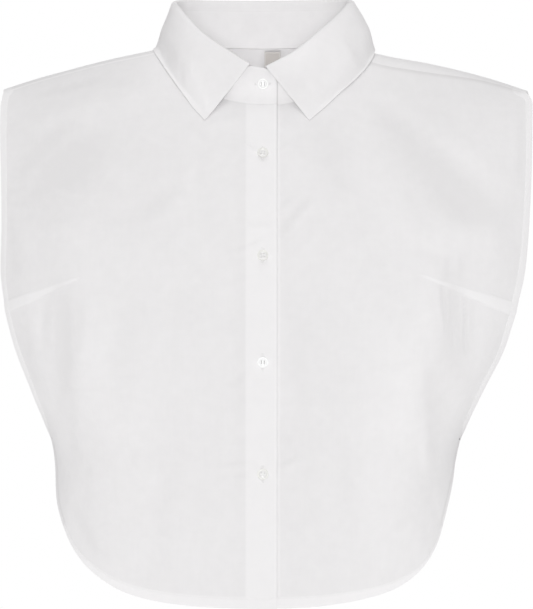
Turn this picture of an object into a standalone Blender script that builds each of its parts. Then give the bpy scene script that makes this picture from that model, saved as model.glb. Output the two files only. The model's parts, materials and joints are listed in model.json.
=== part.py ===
"""A detachable shirt collar: a poplin shirt front and back with no sleeves and open sides, a collar on
a stand, five buttons down the front and a small label inside the neck. It is hollow, as it is worn.

Metres, +Z up. The front faces -Y, and the wearer's left is at +X. The origin lies on the line of the
shoulders, midway between the two points where the neck seam crosses them."""

import math
from collections import namedtuple

import bmesh
import bpy
import numpy as np
from mathutils import Matrix, Vector

# ---- cloth ---------------------------------------------------------------------------------------
GAP = 0.0003  # between pieces that are sewn together
CLOTH = 0.0012  # one layer of poplin, as a wall
DOUBLED = 0.0018  # hems and button bands, where the cloth is folded in
HEM = 0.005
STAND_WALL = 0.0018
LEAF_WALL = 0.0014

# ---- the figure that the cloth is filled out on ----------------------------------------------------
# Level sections from the shoulders to the hem: half widths to either side of the button line, and
# how far the cloth stands in front of and behind the line of the shoulders.
Section = namedtuple("Section", "height left right front back")
SECTIONS = (
    Section(0.040, 0.233, 0.238, 0.030, 0.062),
    Section(0.000, 0.233, 0.238, 0.042, 0.0745),
    Section(-0.055, 0.233, 0.238, 0.0625, 0.086),
    Section(-0.110, 0.233, 0.238, 0.090, 0.095),
    Section(-0.160, 0.232, 0.236, 0.114, 0.101),
    Section(-0.205, 0.230, 0.231, 0.127, 0.103),
    Section(-0.255, 0.220, 0.213, 0.127, 0.099),
    Section(-0.300, 0.2005, 0.1888, 0.122, 0.094),
    Section(-0.335, 0.1796, 0.1678, 0.118, 0.091),
    Section(-0.357, 0.1757, 0.1628, 0.117, 0.091),
    Section(-0.372, 0.1764, 0.1623, 0.116, 0.0915),
    Section(-0.400, 0.1768, 0.1602, 0.113, 0.093),
    Section(-0.475, 0.1770, 0.1595, 0.106, 0.096),
)
SQUARENESS = 2.4  # of a section: 2 is an ellipse
# The ridge of the shoulders, and how far below it the cloth has finished turning over.
Ridge = namedtuple("Ridge", "out left right roll")
RIDGE = (
    Ridge(0.000, 0.0300, 0.0300, 0.130),
    Ridge(0.038, 0.0170, 0.0170, 0.126),
    Ridge(0.060, 0.0075, 0.0075, 0.122),
    Ridge(0.076, 0.0000, 0.0000, 0.118),
    Ridge(0.095, -0.0048, -0.0066, 0.110),
    Ridge(0.130, -0.0121, -0.0135, 0.092),
    Ridge(0.168, -0.0219, -0.0216, 0.074),
    Ridge(0.1985, -0.0301, -0.0298, 0.062),
    Ridge(0.235, -0.0425, -0.0422, 0.055),
)

# ---- outline ---------------------------------------------------------------------------------------
# Edge of the armhole, from the shoulder tip down to the side join: distance out on either side.
Edge = namedtuple("Edge", "height left right")
ARMHOLE = (
    Edge(-0.0390, 0.2200, 0.2240),
    Edge(-0.0430, 0.2211, 0.2276),
    Edge(-0.0470, 0.2216, 0.2284),
    Edge(-0.0600, 0.2217, 0.2277),
    Edge(-0.110, 0.2197, 0.2256),
    Edge(-0.160, 0.2185, 0.2224),
    Edge(-0.200, 0.2187, 0.2178),
    Edge(-0.230, 0.2143, 0.2105),
    Edge(-0.260, 0.2065, 0.2015),
    Edge(-0.290, 0.1952, 0.1863),
    Edge(-0.315, 0.1860, 0.1746),
    Edge(-0.335, 0.1796, 0.1678),
)
JOIN_TOP = -0.335
JOIN_BOTTOM = -0.357
# The curved tail, from the side join to the middle of the hem.
TAIL = (
    Edge(-0.357, 0.1757, 0.1628),
    Edge(-0.370, 0.1751, 0.1601),
    Edge(-0.386, 0.1740, 0.1561),
    Edge(-0.402, 0.1688, 0.1515),
    Edge(-0.417, 0.1625, 0.1473),
    Edge(-0.432, 0.1530, 0.1393),
    Edge(-0.447, 0.1360, 0.1250),
    Edge(-0.456, 0.1210, 0.1090),
    Edge(-0.464, 0.0940, 0.0800),
    Edge(-0.4690, 0.0530, 0.0430),
)
TAIL_MIDDLE = -0.4709
BACK_EASE = 0.985  # the back is this much narrower at its edges than the fronts
BACK_RISE = 0.010  # and its tail this much shorter
# How far forward of the ridge the shoulder seam lies.
Seam = namedtuple("Seam", "out left right")
SHOULDER_SEAM = (
    Seam(0.074, 0.0042, 0.0115),
    Seam(0.110, 0.0040, 0.0112),
    Seam(0.150, 0.0040, 0.0095),
    Seam(0.184, 0.0042, 0.0058),
    Seam(0.226, 0.0045, 0.0040),
)
TIP_LEFT, TIP_RIGHT = 0.2200, 0.2235
SEAM_EASE = 0.0012  # how far each piece stops short of the shoulder seam

# ---- neck ------------------------------------------------------------------------------------------
NECK_HALF_WIDTH = 0.076
NECK_DROP = 0.0550  # of the seam at the centre front
NECK_DROP_BACK = 0.0004
SEAM_TURN_LEFT, SEAM_TURN_RIGHT = math.radians(86), math.radians(79)  # where the shoulder seams meet it

# ---- button band -----------------------------------------------------------------------------------
BAND_EDGE = 0.0115  # free edge of the upper band, past the button line
BAND_FOLD = 0.0140  # its folded-in edge, on the other side
LAP_STEP = (DOUBLED + GAP) / 2  # how far each front moves out or in where they lap
LAP_FADE = 0.035

# ---- bust darts and the largest folds -----------------------------------------------------------------
Dart = namedtuple("Dart", "tip_out tip_height mouth_out mouth_height intake")
DARTS = {
    -1: Dart(0.150, -0.1975, 0.2165, -0.2170, 0.0090),
    1: Dart(0.127, -0.1950, 0.2130, -0.2185, 0.0090),
}
DART_RELIEF = 0.0007
BAND_DART_HEIGHT = -0.183  # where the row of the grid that follows the darts reaches the button band
Fold = namedtuple("Fold", "side x_from z_from x_to z_to reach rise")
FOLDS = (
    Fold(1, 0.092, -0.042, 0.214, -0.128, 0.015, 0.0014),
    Fold(1, 0.100, -0.098, 0.218, -0.160, 0.018, -0.0018),
    Fold(1, 0.088, -0.146, 0.214, -0.172, 0.014, 0.0013),
    Fold(1, 0.142, -0.205, 0.148, -0.335, 0.012, -0.0022),
    Fold(1, 0.166, -0.212, 0.170, -0.270, 0.009, -0.0012),
    Fold(-1, 0.190, -0.070, 0.120, -0.140, 0.020, -0.0014),
    Fold(-1, 0.205, -0.110, 0.130, -0.178, 0.014, 0.0010),
    Fold(-1, 0.172, -0.215, 0.168, -0.340, 0.013, -0.0022),
    Fold(-1, 0.150, -0.220, 0.152, -0.330, 0.010, 0.0009),
    Fold(0, -0.120, -0.060, -0.165, -0.150, 0.022, -0.0018),
    Fold(0, 0.110, -0.055, 0.160, -0.160, 0.020, -0.0016),
    Fold(0, -0.060, -0.200, -0.085, -0.400, 0.024, -0.0018),
    Fold(0, 0.050, -0.180, 0.095, -0.410, 0.026, -0.0020),
)

# ---- collar ------------------------------------------------------------------------------------------
FOLD_HALF_WIDTH = 0.0755  # of the line along which the leaf folds over
FOLD_FRONT, FOLD_BACK = 0.060, 0.0465
LEAF_ROLL = 0.0022  # radius of the fold, to the middle of the cloth
RISE_FRONT, RISE_BACK = 0.0030, 0.0080  # of the leaf's seam below the fold
# Round the neck from the centre front, over the wearer's right shoulder: the height of the fold, and
# the leaf's free edge, from its point at one end to its point at the other, and how far it bows out
# between the two.
Station = namedtuple("Station", "turn fold edge_x edge_y edge_z bow")
STATIONS = (
    Station(8.2, -0.0205, -0.0489, -0.0665, -0.0660, -0.0036),
    Station(25.0, -0.0070, -0.0580, -0.0582, -0.0570, -0.0016),
    Station(42.0, 0.0065, -0.0690, -0.0470, -0.0425, -0.0003),
    Station(58.0, 0.0210, -0.0790, -0.0355, -0.0285, -0.0006),
    Station(74.0, 0.0320, -0.0880, -0.0228, -0.0145, -0.0012),
    Station(90.0, 0.0358, -0.0945, -0.0030, -0.0025, -0.0012),
    Station(112.0, 0.0390, -0.0885, 0.0175, -0.0045, -0.0006),
    Station(140.0, 0.0400, -0.0640, 0.0370, -0.0060, 0.0004),
    Station(180.0, 0.0405, 0.0000, 0.0580, -0.0080, 0.0010),
    Station(220.0, 0.0404, 0.0655, 0.0370, -0.0060, 0.0010),
    Station(248.0, 0.0394, 0.0910, 0.0175, -0.0045, 0.0012),
    Station(270.0, 0.0370, 0.0985, -0.0040, -0.0030, 0.0014),
    Station(287.0, 0.0330, 0.0915, -0.0248, -0.0170, 0.0014),
    Station(303.0, 0.0225, 0.0800, -0.0372, -0.0305, 0.0012),
    Station(320.0, 0.0090, 0.0660, -0.0482, -0.0430, 0.0004),
    Station(338.0, -0.0085, 0.0510, -0.0593, -0.0570, -0.0014),
    Station(358.2, -0.0226, 0.0390, -0.0672, -0.0660, -0.0046),
)
# Upper edge of the stand's end, past the end of the leaf: it slopes down, then rounds the corner.
End = namedtuple("End", "out height")
STAND_END = (
    End(-0.0110, -0.0220),
    End(-0.0050, -0.0231),
    End(0.0000, -0.0238),
    End(0.0025, -0.0244),
    End(0.0050, -0.0256),
    End(0.0080, -0.0286),
    End(0.0100, -0.0322),
    End(0.0115, -0.0380),
)
STAND_END_BEHIND = -0.0268  # its height on the end that lies behind
STAND_LAP_NEAR, STAND_LAP_FADE = 12.0, 30.0  # degrees from the centre front over which its ends lap

# ---- buttons and label -----------------------------------------------------------------------------
BUTTON_HEIGHTS = (-0.0373, -0.0966, -0.1815, -0.2678, -0.3595)
BUTTON_RADIUS = 0.0045
BUTTON_THICKNESS = 0.0022
BUTTON_STEPS = 18
BUTTON_HOLE = 0.00065
BUTTON_HOLE_OUT = 0.00105  # from the middle, in x and in z
BUTTON_OFF = 0.0004  # clear of the cloth
LABEL_LEFT, LABEL_RIGHT = 0.0017, 0.0155
LABEL_TOP, LABEL_BOTTOM = -0.0016, -0.0290
LABEL_WALL = 0.0010
LABEL_OFF_TOP, LABEL_OFF_BOTTOM = 0.0012, 0.0032  # how far it hangs clear of the back

# ---- grids -------------------------------------------------------------------------------------------
ROWS_JOIN, ROWS_BELOW_DART, ROWS_ABOVE_DART = 2, 16, 16
BAND_COLUMNS, NECK_COLUMNS, SHOULDER_COLUMNS = 3, 9, 10
BACK_ROWS, BACK_NECK_COLUMNS = 26, 20
# Share of a piece's width, from the band or from either side, where its upper edge turns at the neck.
FRONT_CORNER, BACK_CORNER = 0.41, 0.175
BACK_HOLD = 3.0
STAND_ROWS, LEAF_COLUMNS = 4, 56
OUTLINE_STEPS = 120  # points along each leg of an outline


# ---- helpers -----------------------------------------------------------------------------------------
def smooth(at, values):
    """A smooth function through the values, held level past its ends."""
    at, values = np.asarray(at, float), np.asarray(values, float)
    order = np.argsort(at)
    at, values = at[order], values[order]
    slope = np.gradient(values, at)

    def read(x):
        x = np.clip(x, at[0], at[-1])
        i = np.clip(np.searchsorted(at, x) - 1, 0, len(at) - 2)
        span = at[i + 1] - at[i]
        t = (x - at[i]) / span
        held = (1 + 2 * t) * (1 - t) ** 2 * values[i] + t * t * (3 - 2 * t) * values[i + 1]
        return held + span * t * (1 - t) * ((1 - t) * slope[i] - t * slope[i + 1])

    return read


def column(table, by, name):
    """One column of a table as a smooth function of another."""
    return smooth([getattr(row, by) for row in table], [getattr(row, name) for row in table])


def ease(x):
    x = np.clip(x, 0.0, 1.0)
    return x * x * (3 - 2 * x)


left_at = column(SECTIONS, "height", "left")
right_at = column(SECTIONS, "height", "right")
front_at = column(SECTIONS, "height", "front")
back_at = column(SECTIONS, "height", "back")
ridge_left_at = column(RIDGE, "out", "left")
ridge_right_at = column(RIDGE, "out", "right")
roll_at = column(RIDGE, "out", "roll")
seam_left_at = column(SHOULDER_SEAM, "out", "left")
seam_right_at = column(SHOULDER_SEAM, "out", "right")


def half_width(x, z):
    return np.where(x < 0, left_at(z), right_at(z))


def ridge_at(x):
    return np.where(x < 0, ridge_left_at(-x), ridge_right_at(x))


# ---- the form: every cloth point is (turn, girth) --------------------------------------------------
# turn goes round a level section, 0 at the button line and a quarter turn at the side. girth goes down
# from the ridge of the shoulders, and a negative girth is over the ridge, on the other face.
def form(turn, girth, facing):
    """Points of the figure, for turns and girths on its front (facing -1) or its back (facing 1)."""
    facing = facing * np.where(girth < 0, -1.0, 1.0)
    girth = np.abs(girth)
    out = np.abs(np.sin(turn)) ** (2 / SQUARENESS) * np.sign(turn)
    forward = np.abs(np.cos(turn)) ** (2 / SQUARENESS)
    z = -girth
    for _ in range(8):
        x = out * half_width(out, z)
        roll = roll_at(np.abs(x))
        bend = np.clip(girth / roll, 0, math.pi / 2)
        z = ridge_at(x) - roll * (1 - np.cos(bend)) - (girth - roll * bend)
    depth = np.where(facing < 0, front_at(z), back_at(z))
    return np.stack([x, facing * depth * forward * np.sin(bend), z], -1)


def chart(x, z):
    """The turn and girth of a point that is seen at x and z."""
    x, z = np.asarray(x, float), np.asarray(z, float)
    share = np.clip(np.abs(x) / half_width(x, z), 0, 1)
    turn = np.arcsin(share ** (SQUARENESS / 2)) * np.sign(x)
    drop, roll = np.maximum(ridge_at(x) - z, 0), roll_at(np.abs(x))
    bend = np.arccos(np.clip(1 - drop / roll, -1, 1))
    girth = np.where(drop < roll, roll * bend, roll * math.pi / 2 + drop - roll)
    return np.stack([turn, girth], -1)


def ring(turn):
    """Outline of the neck seam, round from the centre front over the wearer's right shoulder."""
    forward = np.cos(turn)
    z = np.where(forward > 0, -NECK_DROP * forward, NECK_DROP_BACK * forward)
    return -NECK_HALF_WIDTH * np.sin(turn), z


def ring_point(turn):
    """The neck seam in space."""
    x, z = ring(turn)
    turned, girth = chart(x, z).T if np.ndim(turn) else chart(x, z)
    return np.where(np.cos(turn)[..., None] > 0, form(turned, girth, -1), form(turned, girth, 1))


def outline(table, side, middle=None):
    """A smooth edge through a table's rows, and on to the middle of the hem if it is given."""
    xs = [side * (row.left if side < 0 else row.right) for row in table]
    zs = [row.height for row in table]
    if middle is not None:
        xs.append(0.0)
        zs.append(middle)
    run = np.concatenate([[0], np.cumsum(np.hypot(np.diff(xs), np.diff(zs)))])
    fine = np.linspace(0, run[-1], OUTLINE_STEPS)
    return smooth(run, xs)(fine), smooth(run, zs)(fine)


def edge(facing, *legs):
    """A boundary as a function of a share from 0 to 1. Each leg is (share at its end, turns and girths)."""
    shares, points, start = [], [], 0.0
    for end, leg in legs:
        place = form(leg[:, 0], leg[:, 1], facing)
        run = np.concatenate([[0], np.cumsum(np.linalg.norm(np.diff(place, axis=0), axis=1))])
        shares.append(start + (end - start) * run / run[-1])
        points.append(leg)
        start = end
    shares, points = np.concatenate(shares), np.concatenate(points)

    def read(share):
        return np.stack([np.interp(share, shares, points[:, k]) for k in (0, 1)], -1)

    return read


def patch(near, far, low, high, hold=1.0):
    """A patch between four boundaries: near and far go up it, low and high go across it. With a larger
    hold, the shape of near and far is followed only by the columns close to them."""

    def read(across, up):
        a, u = across[..., None], up[..., None]
        mixed = (1 - u) * low(across) + u * high(across)
        near_off = near(up) - (1 - u) * low(0.0) - u * high(0.0)
        far_off = far(up) - (1 - u) * low(1.0) - u * high(1.0)
        return mixed + (1 - a) ** hold * near_off + a**hold * far_off

    return read


def distances(points, axis):
    return np.linalg.norm(np.diff(points, axis=axis), axis=-1)


# ---- making objects ------------------------------------------------------------------------------------
def material(name, colour, roughness):
    made = bpy.data.materials.new(name)
    made.use_nodes = True
    shader = made.node_tree.nodes["Principled BSDF"]
    shader.inputs["Base Color"].default_value = (*colour, 1.0)
    shader.inputs["Roughness"].default_value = roughness
    shader.inputs["Metallic"].default_value = 0.0
    return made


def cloth_grid(name, points, finish, outside, wall, thin=1.0, thick=None):
    """A grid bent to an array of points (rows, columns, 3) and given a wall on its inner side.
    outside points out of it at the grid's first corner. Where thick is false, the wall is only the
    share thin of its thickness."""
    rows, columns = points.shape[:2]
    bm = bmesh.new()
    bmesh.ops.create_grid(bm, x_segments=columns - 1, y_segments=rows - 1, size=1.0)
    bm.verts.ensure_lookup_table()
    for vert, place in zip(bm.verts, points.reshape(-1, 3)):
        vert.co = Vector(place)
    bm.normal_update()
    if bm.verts[0].normal.dot(Vector(outside)) < 0:
        bmesh.ops.reverse_faces(bm, faces=bm.faces[:])
    mesh = bpy.data.meshes.new(name)
    bm.to_mesh(mesh)
    bm.free()
    mesh.materials.append(finish)
    mesh.shade_smooth()
    made = bpy.data.objects.new(name, mesh)
    parts.objects.link(made)
    shell = made.modifiers.new("wall", "SOLIDIFY")
    shell.thickness = wall
    shell.offset = -1.0
    shell.use_even_offset = True
    if thick is not None:
        group = made.vertex_groups.new(name="doubled")
        group.add([int(i) for i in np.flatnonzero(thick.reshape(-1))], 1.0, "REPLACE")
        shell.vertex_group = group.name
        shell.thickness_vertex_group = thin


def outward(points, facing_hint):
    """Unit normals of a grid of points, turned to the side that facing_hint names."""
    across = np.gradient(points, axis=1)
    up = np.gradient(points, axis=0)
    normal = np.cross(across, up)
    normal /= np.maximum(np.linalg.norm(normal, axis=-1, keepdims=True), 1e-12)
    return normal * np.sign((normal * facing_hint).sum(-1, keepdims=True))


def fold_relief(points, side):
    """How far the drape folds of one side move the cloth out, at each point."""
    x, z = points[..., 0], points[..., 2]
    out = x if side == 0 else side * x
    moved = np.zeros(x.shape)
    for fold in FOLDS:
        if fold.side != side:
            continue
        along = np.array([fold.x_to - fold.x_from, fold.z_to - fold.z_from])
        length = np.hypot(*along)
        along /= length
        gone_x, gone_z = out - fold.x_from, z - fold.z_from
        run = (gone_x * along[0] + gone_z * along[1]) / length
        off = gone_x * along[1] - gone_z * along[0]
        ends = ease(run / 0.3) * ease((1 - run) / 0.3)
        moved += fold.rise * ends * np.exp(-((off / fold.reach) ** 2))
    return moved


# ---- fronts --------------------------------------------------------------------------------------------
def tail_outline(side, rise=0.0, narrower=1.0):
    x, z = outline(TAIL, side, TAIL_MIDDLE)
    return x * narrower, JOIN_BOTTOM + (z - JOIN_BOTTOM) * (1 - rise / (JOIN_BOTTOM - TAIL_MIDDLE))


def shoulder_seam(side, steps=OUTLINE_STEPS):
    """The shoulder seam from the neck out to the tip, as turns and girths on the front."""
    turn, tip = (SEAM_TURN_LEFT, TIP_LEFT) if side < 0 else (SEAM_TURN_RIGHT, TIP_RIGHT)
    neck_x, neck_z = ring(turn)
    start = abs(float(neck_x))
    out = np.linspace(start, tip, steps)
    forward = (seam_left_at if side < 0 else seam_right_at)(out)
    own = ridge_at(side * start) - float(neck_z)
    forward = forward + (own - forward[0]) * (1 - ease((out - start) / 0.02))
    return chart(side * out, ridge_at(side * out) - forward)


def sewn_seam(side, facing):
    """The edge of one piece along the shoulder seam, a little short of the seam itself."""
    return shoulder_seam(side) * [1, -facing] + [0.0, SEAM_EASE]


def armhole(side, facing):
    """The armhole's edge from the join up to the shoulder tip, as turns and girths."""
    x, z = outline(ARMHOLE, side)
    x, z = x[::-1], z[::-1]
    if facing > 0:
        # The back keeps the fronts' width at its shoulder tips and at the side joins.
        kept = np.maximum(ease((z + 0.075) / 0.03), ease((-0.30 - z) / 0.03))
        x = x * (BACK_EASE + (1 - BACK_EASE) * kept)
    edge_points = chart(x, z)
    edge_points[-1] = sewn_seam(side, facing)[-1]
    return edge_points


def side_edge(side, facing):
    """The boundary at the side: up the join, then up the armhole."""
    join_z = np.linspace(JOIN_BOTTOM, JOIN_TOP, 12)
    width = half_width(np.full(12, float(side)), join_z)
    return chart(side * width, join_z), armhole(side, facing)


def split_at(leg, side, height, facing):
    """An edge's leg, cut in two where it passes a height."""
    z = form(leg[:, 0], leg[:, 1], facing)[:, 2]
    i = int(np.argmin(np.abs(z - height)))
    return leg[: i + 1], leg[i:]


def front_grid(side):
    """Turns and girths of one front, rows from the hem up, columns from the button band outwards."""
    rows = ROWS_JOIN + ROWS_BELOW_DART + ROWS_ABOVE_DART
    dart_row = ROWS_JOIN + ROWS_BELOW_DART
    dart = DARTS[side]
    up = np.linspace(0, 1, rows + 1)
    tail_x, tail_z = tail_outline(side)
    order = np.argsort(side * tail_x)
    fold_x = side * BAND_FOLD

    def tail_height(x):
        if side * x < 0:
            return TAIL_MIDDLE
        return float(np.interp(side * x, side * tail_x[order], tail_z[order]))

    def neck_height(x):
        return -NECK_DROP * math.sqrt(1 - (x / NECK_HALF_WIDTH) ** 2)

    def band_line(x):
        below = np.linspace(tail_height(x), BAND_DART_HEIGHT, OUTLINE_STEPS)
        above = np.linspace(BAND_DART_HEIGHT, neck_height(x), OUTLINE_STEPS)
        legs = [chart(np.full(heights.shape, x), heights) for heights in (below, above)]
        return edge(-1, (up[dart_row], legs[0]), (1.0, legs[1]))

    join, arm = side_edge(side, -1)
    arm_low, arm_high = split_at(arm, side, dart.mouth_height, -1)
    far = edge(-1, (up[ROWS_JOIN], join), (up[dart_row], arm_low), (1.0, arm_high))
    kept = side * tail_x > side * fold_x
    low_x = np.append(tail_x[kept], fold_x)[::-1]
    low_z = np.append(tail_z[kept], tail_height(fold_x))[::-1]
    low = edge(-1, (1.0, chart(low_x, low_z)))
    seam_turn = SEAM_TURN_LEFT if side < 0 else SEAM_TURN_RIGHT
    start_turn = math.asin(BAND_FOLD / NECK_HALF_WIDTH)
    turns = np.linspace(start_turn, seam_turn, OUTLINE_STEPS)
    neck_x, neck_z = ring(turns if side < 0 else -turns)
    high = edge(-1, (FRONT_CORNER, chart(neck_x, neck_z)), (1.0, sewn_seam(side, -1)))
    body = patch(band_line(fold_x), far, low, high)

    under_neck = np.linspace(0, FRONT_CORNER, NECK_COLUMNS + 1)
    under_shoulder = np.linspace(FRONT_CORNER, 1, SHOULDER_COLUMNS + 1)
    across, rising = np.meshgrid(np.concatenate([under_neck, under_shoulder[1:]]), up)
    place = form(*np.moveaxis(body(across, rising), -1, 0), -1)
    across[:, -2] = 1 - HEM * (1 - across[:, -2]) / distances(place, 1)[:, -1]
    rising[1, :] = HEM * up[1] / distances(place, 0)[0, :]
    grid = body(across, rising)
    grid = follow_dart(grid, dart, dart_row)
    band = np.linspace(-side * BAND_EDGE, fold_x, BAND_COLUMNS + 1)[:-1]
    lines = np.stack([band_line(x)(rising[:, 0]) for x in band], 1)
    return np.concatenate([lines, grid], 1), dart_row


def follow_dart(grid, dart, row):
    """Slides the rows near the dart so that one follows its seam and the next the edge of its intake."""
    place = form(grid[..., 0], grid[..., 1], -1)
    out = np.abs(place[row, :, 0])
    share = np.clip((out - dart.tip_out) / (dart.mouth_out - dart.tip_out), 0, 1)
    seam = dart.tip_height + share * (dart.mouth_height - dart.tip_height)
    weight = ease((out - dart.tip_out + 0.06) / 0.06)
    weight[-1] = 0.0
    rows = np.arange(len(grid))
    drop = (seam - place[row, :, 2]) * weight
    lower = seam - np.maximum(dart.intake * share, 0.0035)
    drop_lower = (lower - place[row - 1, :, 2]) * weight
    for i in rows:
        if i >= row:
            grid[i, :, 1] -= drop * ease(1 - (i - row) / 9)
        else:
            grid[i, :, 1] -= drop_lower * ease(1 - (row - 1 - i) / 9)
    return grid


def make_front(name, side, lap, finish):
    """One front. lap is 1 where it lies over the other front, and -1 where it lies under it. Returns
    its edge along the neck seam, from the button band to the shoulder."""
    grid, dart_row = front_grid(side)
    points = form(grid[..., 0], grid[..., 1], -1)
    points[: ROWS_JOIN + 1, -1, 1] -= GAP
    normal = outward(points, np.array([side * 0.3, -1.0, 0.3]))
    x = side * points[..., 0]
    moved = lap * LAP_STEP * (1 - ease((x - BAND_EDGE) / LAP_FADE))
    moved += fold_relief(points, side)
    dart = DARTS[side]
    share = np.clip((x[dart_row] - dart.tip_out) / (dart.mouth_out - dart.tip_out), 0, 1)
    relief = DART_RELIEF * ease(share / 0.2)
    moved[dart_row] -= relief
    moved[dart_row - 1] += relief
    points += normal * moved[..., None]
    thick = np.zeros(points.shape[:2], bool)
    thick[:2, :] = thick[:, -2:] = thick[:, : BAND_COLUMNS + 1] = True
    thick[dart_row - 1 : dart_row + 1, :] |= share > 0.15
    cloth_grid(name, points, finish, (0, -1, 0), DOUBLED, CLOTH / DOUBLED, thick)
    return points[-1, : BAND_COLUMNS + NECK_COLUMNS + 1]


# ---- back ----------------------------------------------------------------------------------------------
def make_back(finish):
    """The back. Returns its edge along the neck seam."""
    up = 1 - (1 - np.linspace(0, 1, BACK_ROWS + 1)) ** 1.25
    sides = []
    for side in (-1, 1):
        join, arm = side_edge(side, 1)
        sides.append(edge(1, (up[ROWS_JOIN], join), (1.0, arm)))
    tail = [tail_outline(side, BACK_RISE, 1.0) for side in (-1, 1)]
    tail_x = np.concatenate([tail[0][0], tail[1][0][::-1][1:]])
    tail_z = np.concatenate([tail[0][1], tail[1][1][::-1][1:]])
    low = edge(1, (1.0, chart(tail_x, tail_z)))
    seams = [sewn_seam(side, 1) for side in (-1, 1)]
    turns = np.linspace(SEAM_TURN_LEFT, 2 * math.pi - SEAM_TURN_RIGHT, 3 * OUTLINE_STEPS)
    neck = chart(*ring(turns)) * np.stack([np.ones(turns.shape), np.where(np.cos(turns) > 0, -1, 1)], -1)
    high = edge(1, (BACK_CORNER, seams[0][::-1]), (1 - BACK_CORNER, neck), (1.0, seams[1]))
    body = patch(sides[0], sides[1], low, high, BACK_HOLD)
    under_shoulder = np.linspace(0, BACK_CORNER, SHOULDER_COLUMNS + 1)
    under_neck = np.linspace(BACK_CORNER, 1 - BACK_CORNER, BACK_NECK_COLUMNS + 1)
    columns = np.concatenate([under_shoulder, under_neck[1:-1], 1 - under_shoulder[::-1]])
    across, rising = np.meshgrid(columns, up)
    place = form(*np.moveaxis(body(across, rising), -1, 0), 1)
    wide = distances(place, 1)
    across[:, 1] = HEM * across[:, 1] / wide[:, 0]
    across[:, -2] = 1 - HEM * (1 - across[:, -2]) / wide[:, -1]
    rising[1, :] = HEM * up[1] / distances(place, 0)[0, :]
    grid = body(across, rising)
    points = form(grid[..., 0], grid[..., 1], 1)
    points[: ROWS_JOIN + 1, [0, -1], 1] += GAP
    normal = outward(points, np.array([0.0, 1.0, 0.6]))
    points += normal * fold_relief(points, 0)[..., None]
    thick = np.zeros(points.shape[:2], bool)
    thick[:2, :] = thick[:, :2] = thick[:, -2:] = True
    cloth_grid("back", points, finish, (-1, 0.2, 0), DOUBLED, CLOTH / DOUBLED, thick)
    return points[-1, SHOULDER_COLUMNS + 1 : -SHOULDER_COLUMNS - 1]


# ---- collar --------------------------------------------------------------------------------------------
def unwrapped(table, name):
    """A column of the collar's table as a smooth function of the turn, in radians, past both ends too."""
    return smooth([math.radians(row.turn) for row in table], [getattr(row, name) for row in table])


fold_height = unwrapped(STATIONS, "fold")
edge_x, edge_y, edge_z = (unwrapped(STATIONS, name) for name in ("edge_x", "edge_y", "edge_z"))
leaf_bow = unwrapped(STATIONS, "bow")


def fold_line(turn):
    depth = np.where(np.cos(turn) > 0, FOLD_FRONT, FOLD_BACK)
    return np.stack([-FOLD_HALF_WIDTH * np.sin(turn), -depth * np.cos(turn), fold_height(turn)], -1)


def fold_frame(turn):
    """The fold line's points, and at each the directions outwards and up, square to the line."""
    step = 1e-3
    along = fold_line(turn + step) - fold_line(turn - step)
    first, last = math.radians(STATIONS[0].turn) + step, math.radians(STATIONS[-1].turn) - step
    inside = np.clip(turn, first, last)
    along[..., 2] = fold_height(inside + step) - fold_height(inside - step)
    along /= np.linalg.norm(along, axis=-1, keepdims=True)
    out = np.cross(along, [0.0, 0.0, 1.0])
    out /= np.linalg.norm(out, axis=-1, keepdims=True)
    here = fold_line(turn)
    out *= np.sign((here * out).sum(-1, keepdims=True))
    up = np.cross(out, along)
    up *= np.sign(up[..., 2:3])
    return here, out, up


def leaf_rise(turn):
    return RISE_FRONT + (RISE_BACK - RISE_FRONT) * ease((1 - np.cos(turn)) / 1.2)


def lap_shift(turn):
    """How far the stand moves out where its upper end lies over the lower one, and in at the other."""
    near, fade = math.radians(STAND_LAP_NEAR), math.radians(STAND_LAP_FADE)
    over = 1 - ease((turn - near) / fade)
    under = 1 - ease((2 * math.pi - turn - near) / fade)
    return (STAND_WALL + GAP) / 2 * (over - under)


def make_stand(right, back, left, finish):
    """The stand, built up from the points of the neck seam: the wearer's right front, back, left front."""
    sines = [np.arcsin(-piece[:, 0] / NECK_HALF_WIDTH) for piece in (right, back, left)]
    ahead = np.where(sines[1] > 0, sines[1], 2 * math.pi + sines[1])
    sines[1] = np.where(back[:, 1] > 0, math.pi - sines[1], ahead)
    turns = np.concatenate([sines[0], sines[1], 2 * math.pi + sines[2][::-1]])
    neck = np.concatenate([right, back, left[::-1]])
    last = len(turns) - 1
    leaf_start, leaf_end = math.radians(STATIONS[0].turn), math.radians(STATIONS[-1].turn)
    marks = np.interp([leaf_start - 0.006, leaf_start + 0.003], turns, np.arange(last + 1))
    corner = np.array([0.1, 0.22, 0.36, 0.55, 0.78])
    knots = np.unique(np.concatenate([np.arange(0, last + 0.1, 0.5), corner, last - corner, marks]))
    base = np.stack([np.interp(knots, np.arange(last + 1), neck[:, k]) for k in range(3)], -1)
    turns = np.interp(knots, np.arange(last + 1), turns)
    here, out, up = fold_frame(turns)
    shift = lap_shift(turns)[:, None]
    top = here - out * LEAF_ROLL
    ends = smooth([row.out for row in STAND_END], [row.height for row in STAND_END])
    upper, lower = turns < leaf_start, turns > leaf_end
    sewn = ~(upper | lower)
    top[sewn] -= (up * (leaf_rise(turns) + 2.5 * GAP)[:, None])[sewn]
    top[upper, 2] = ends(top[upper, 0])
    top[lower, 2] = np.minimum(STAND_END_BEHIND, ends(-top[lower, 0]))
    base += [0.0, 0.0, 1.4 * GAP]
    base += out * shift * 0.18  # the fronts under it already lap, all but this
    top += out * (shift + STAND_WALL / 2)
    share = np.linspace(0, 1, STAND_ROWS + 1)[:, None, None]
    cloth_grid("collar_stand", base * (1 - share) + top * share, finish, (0, -1, 0), STAND_WALL)


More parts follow.
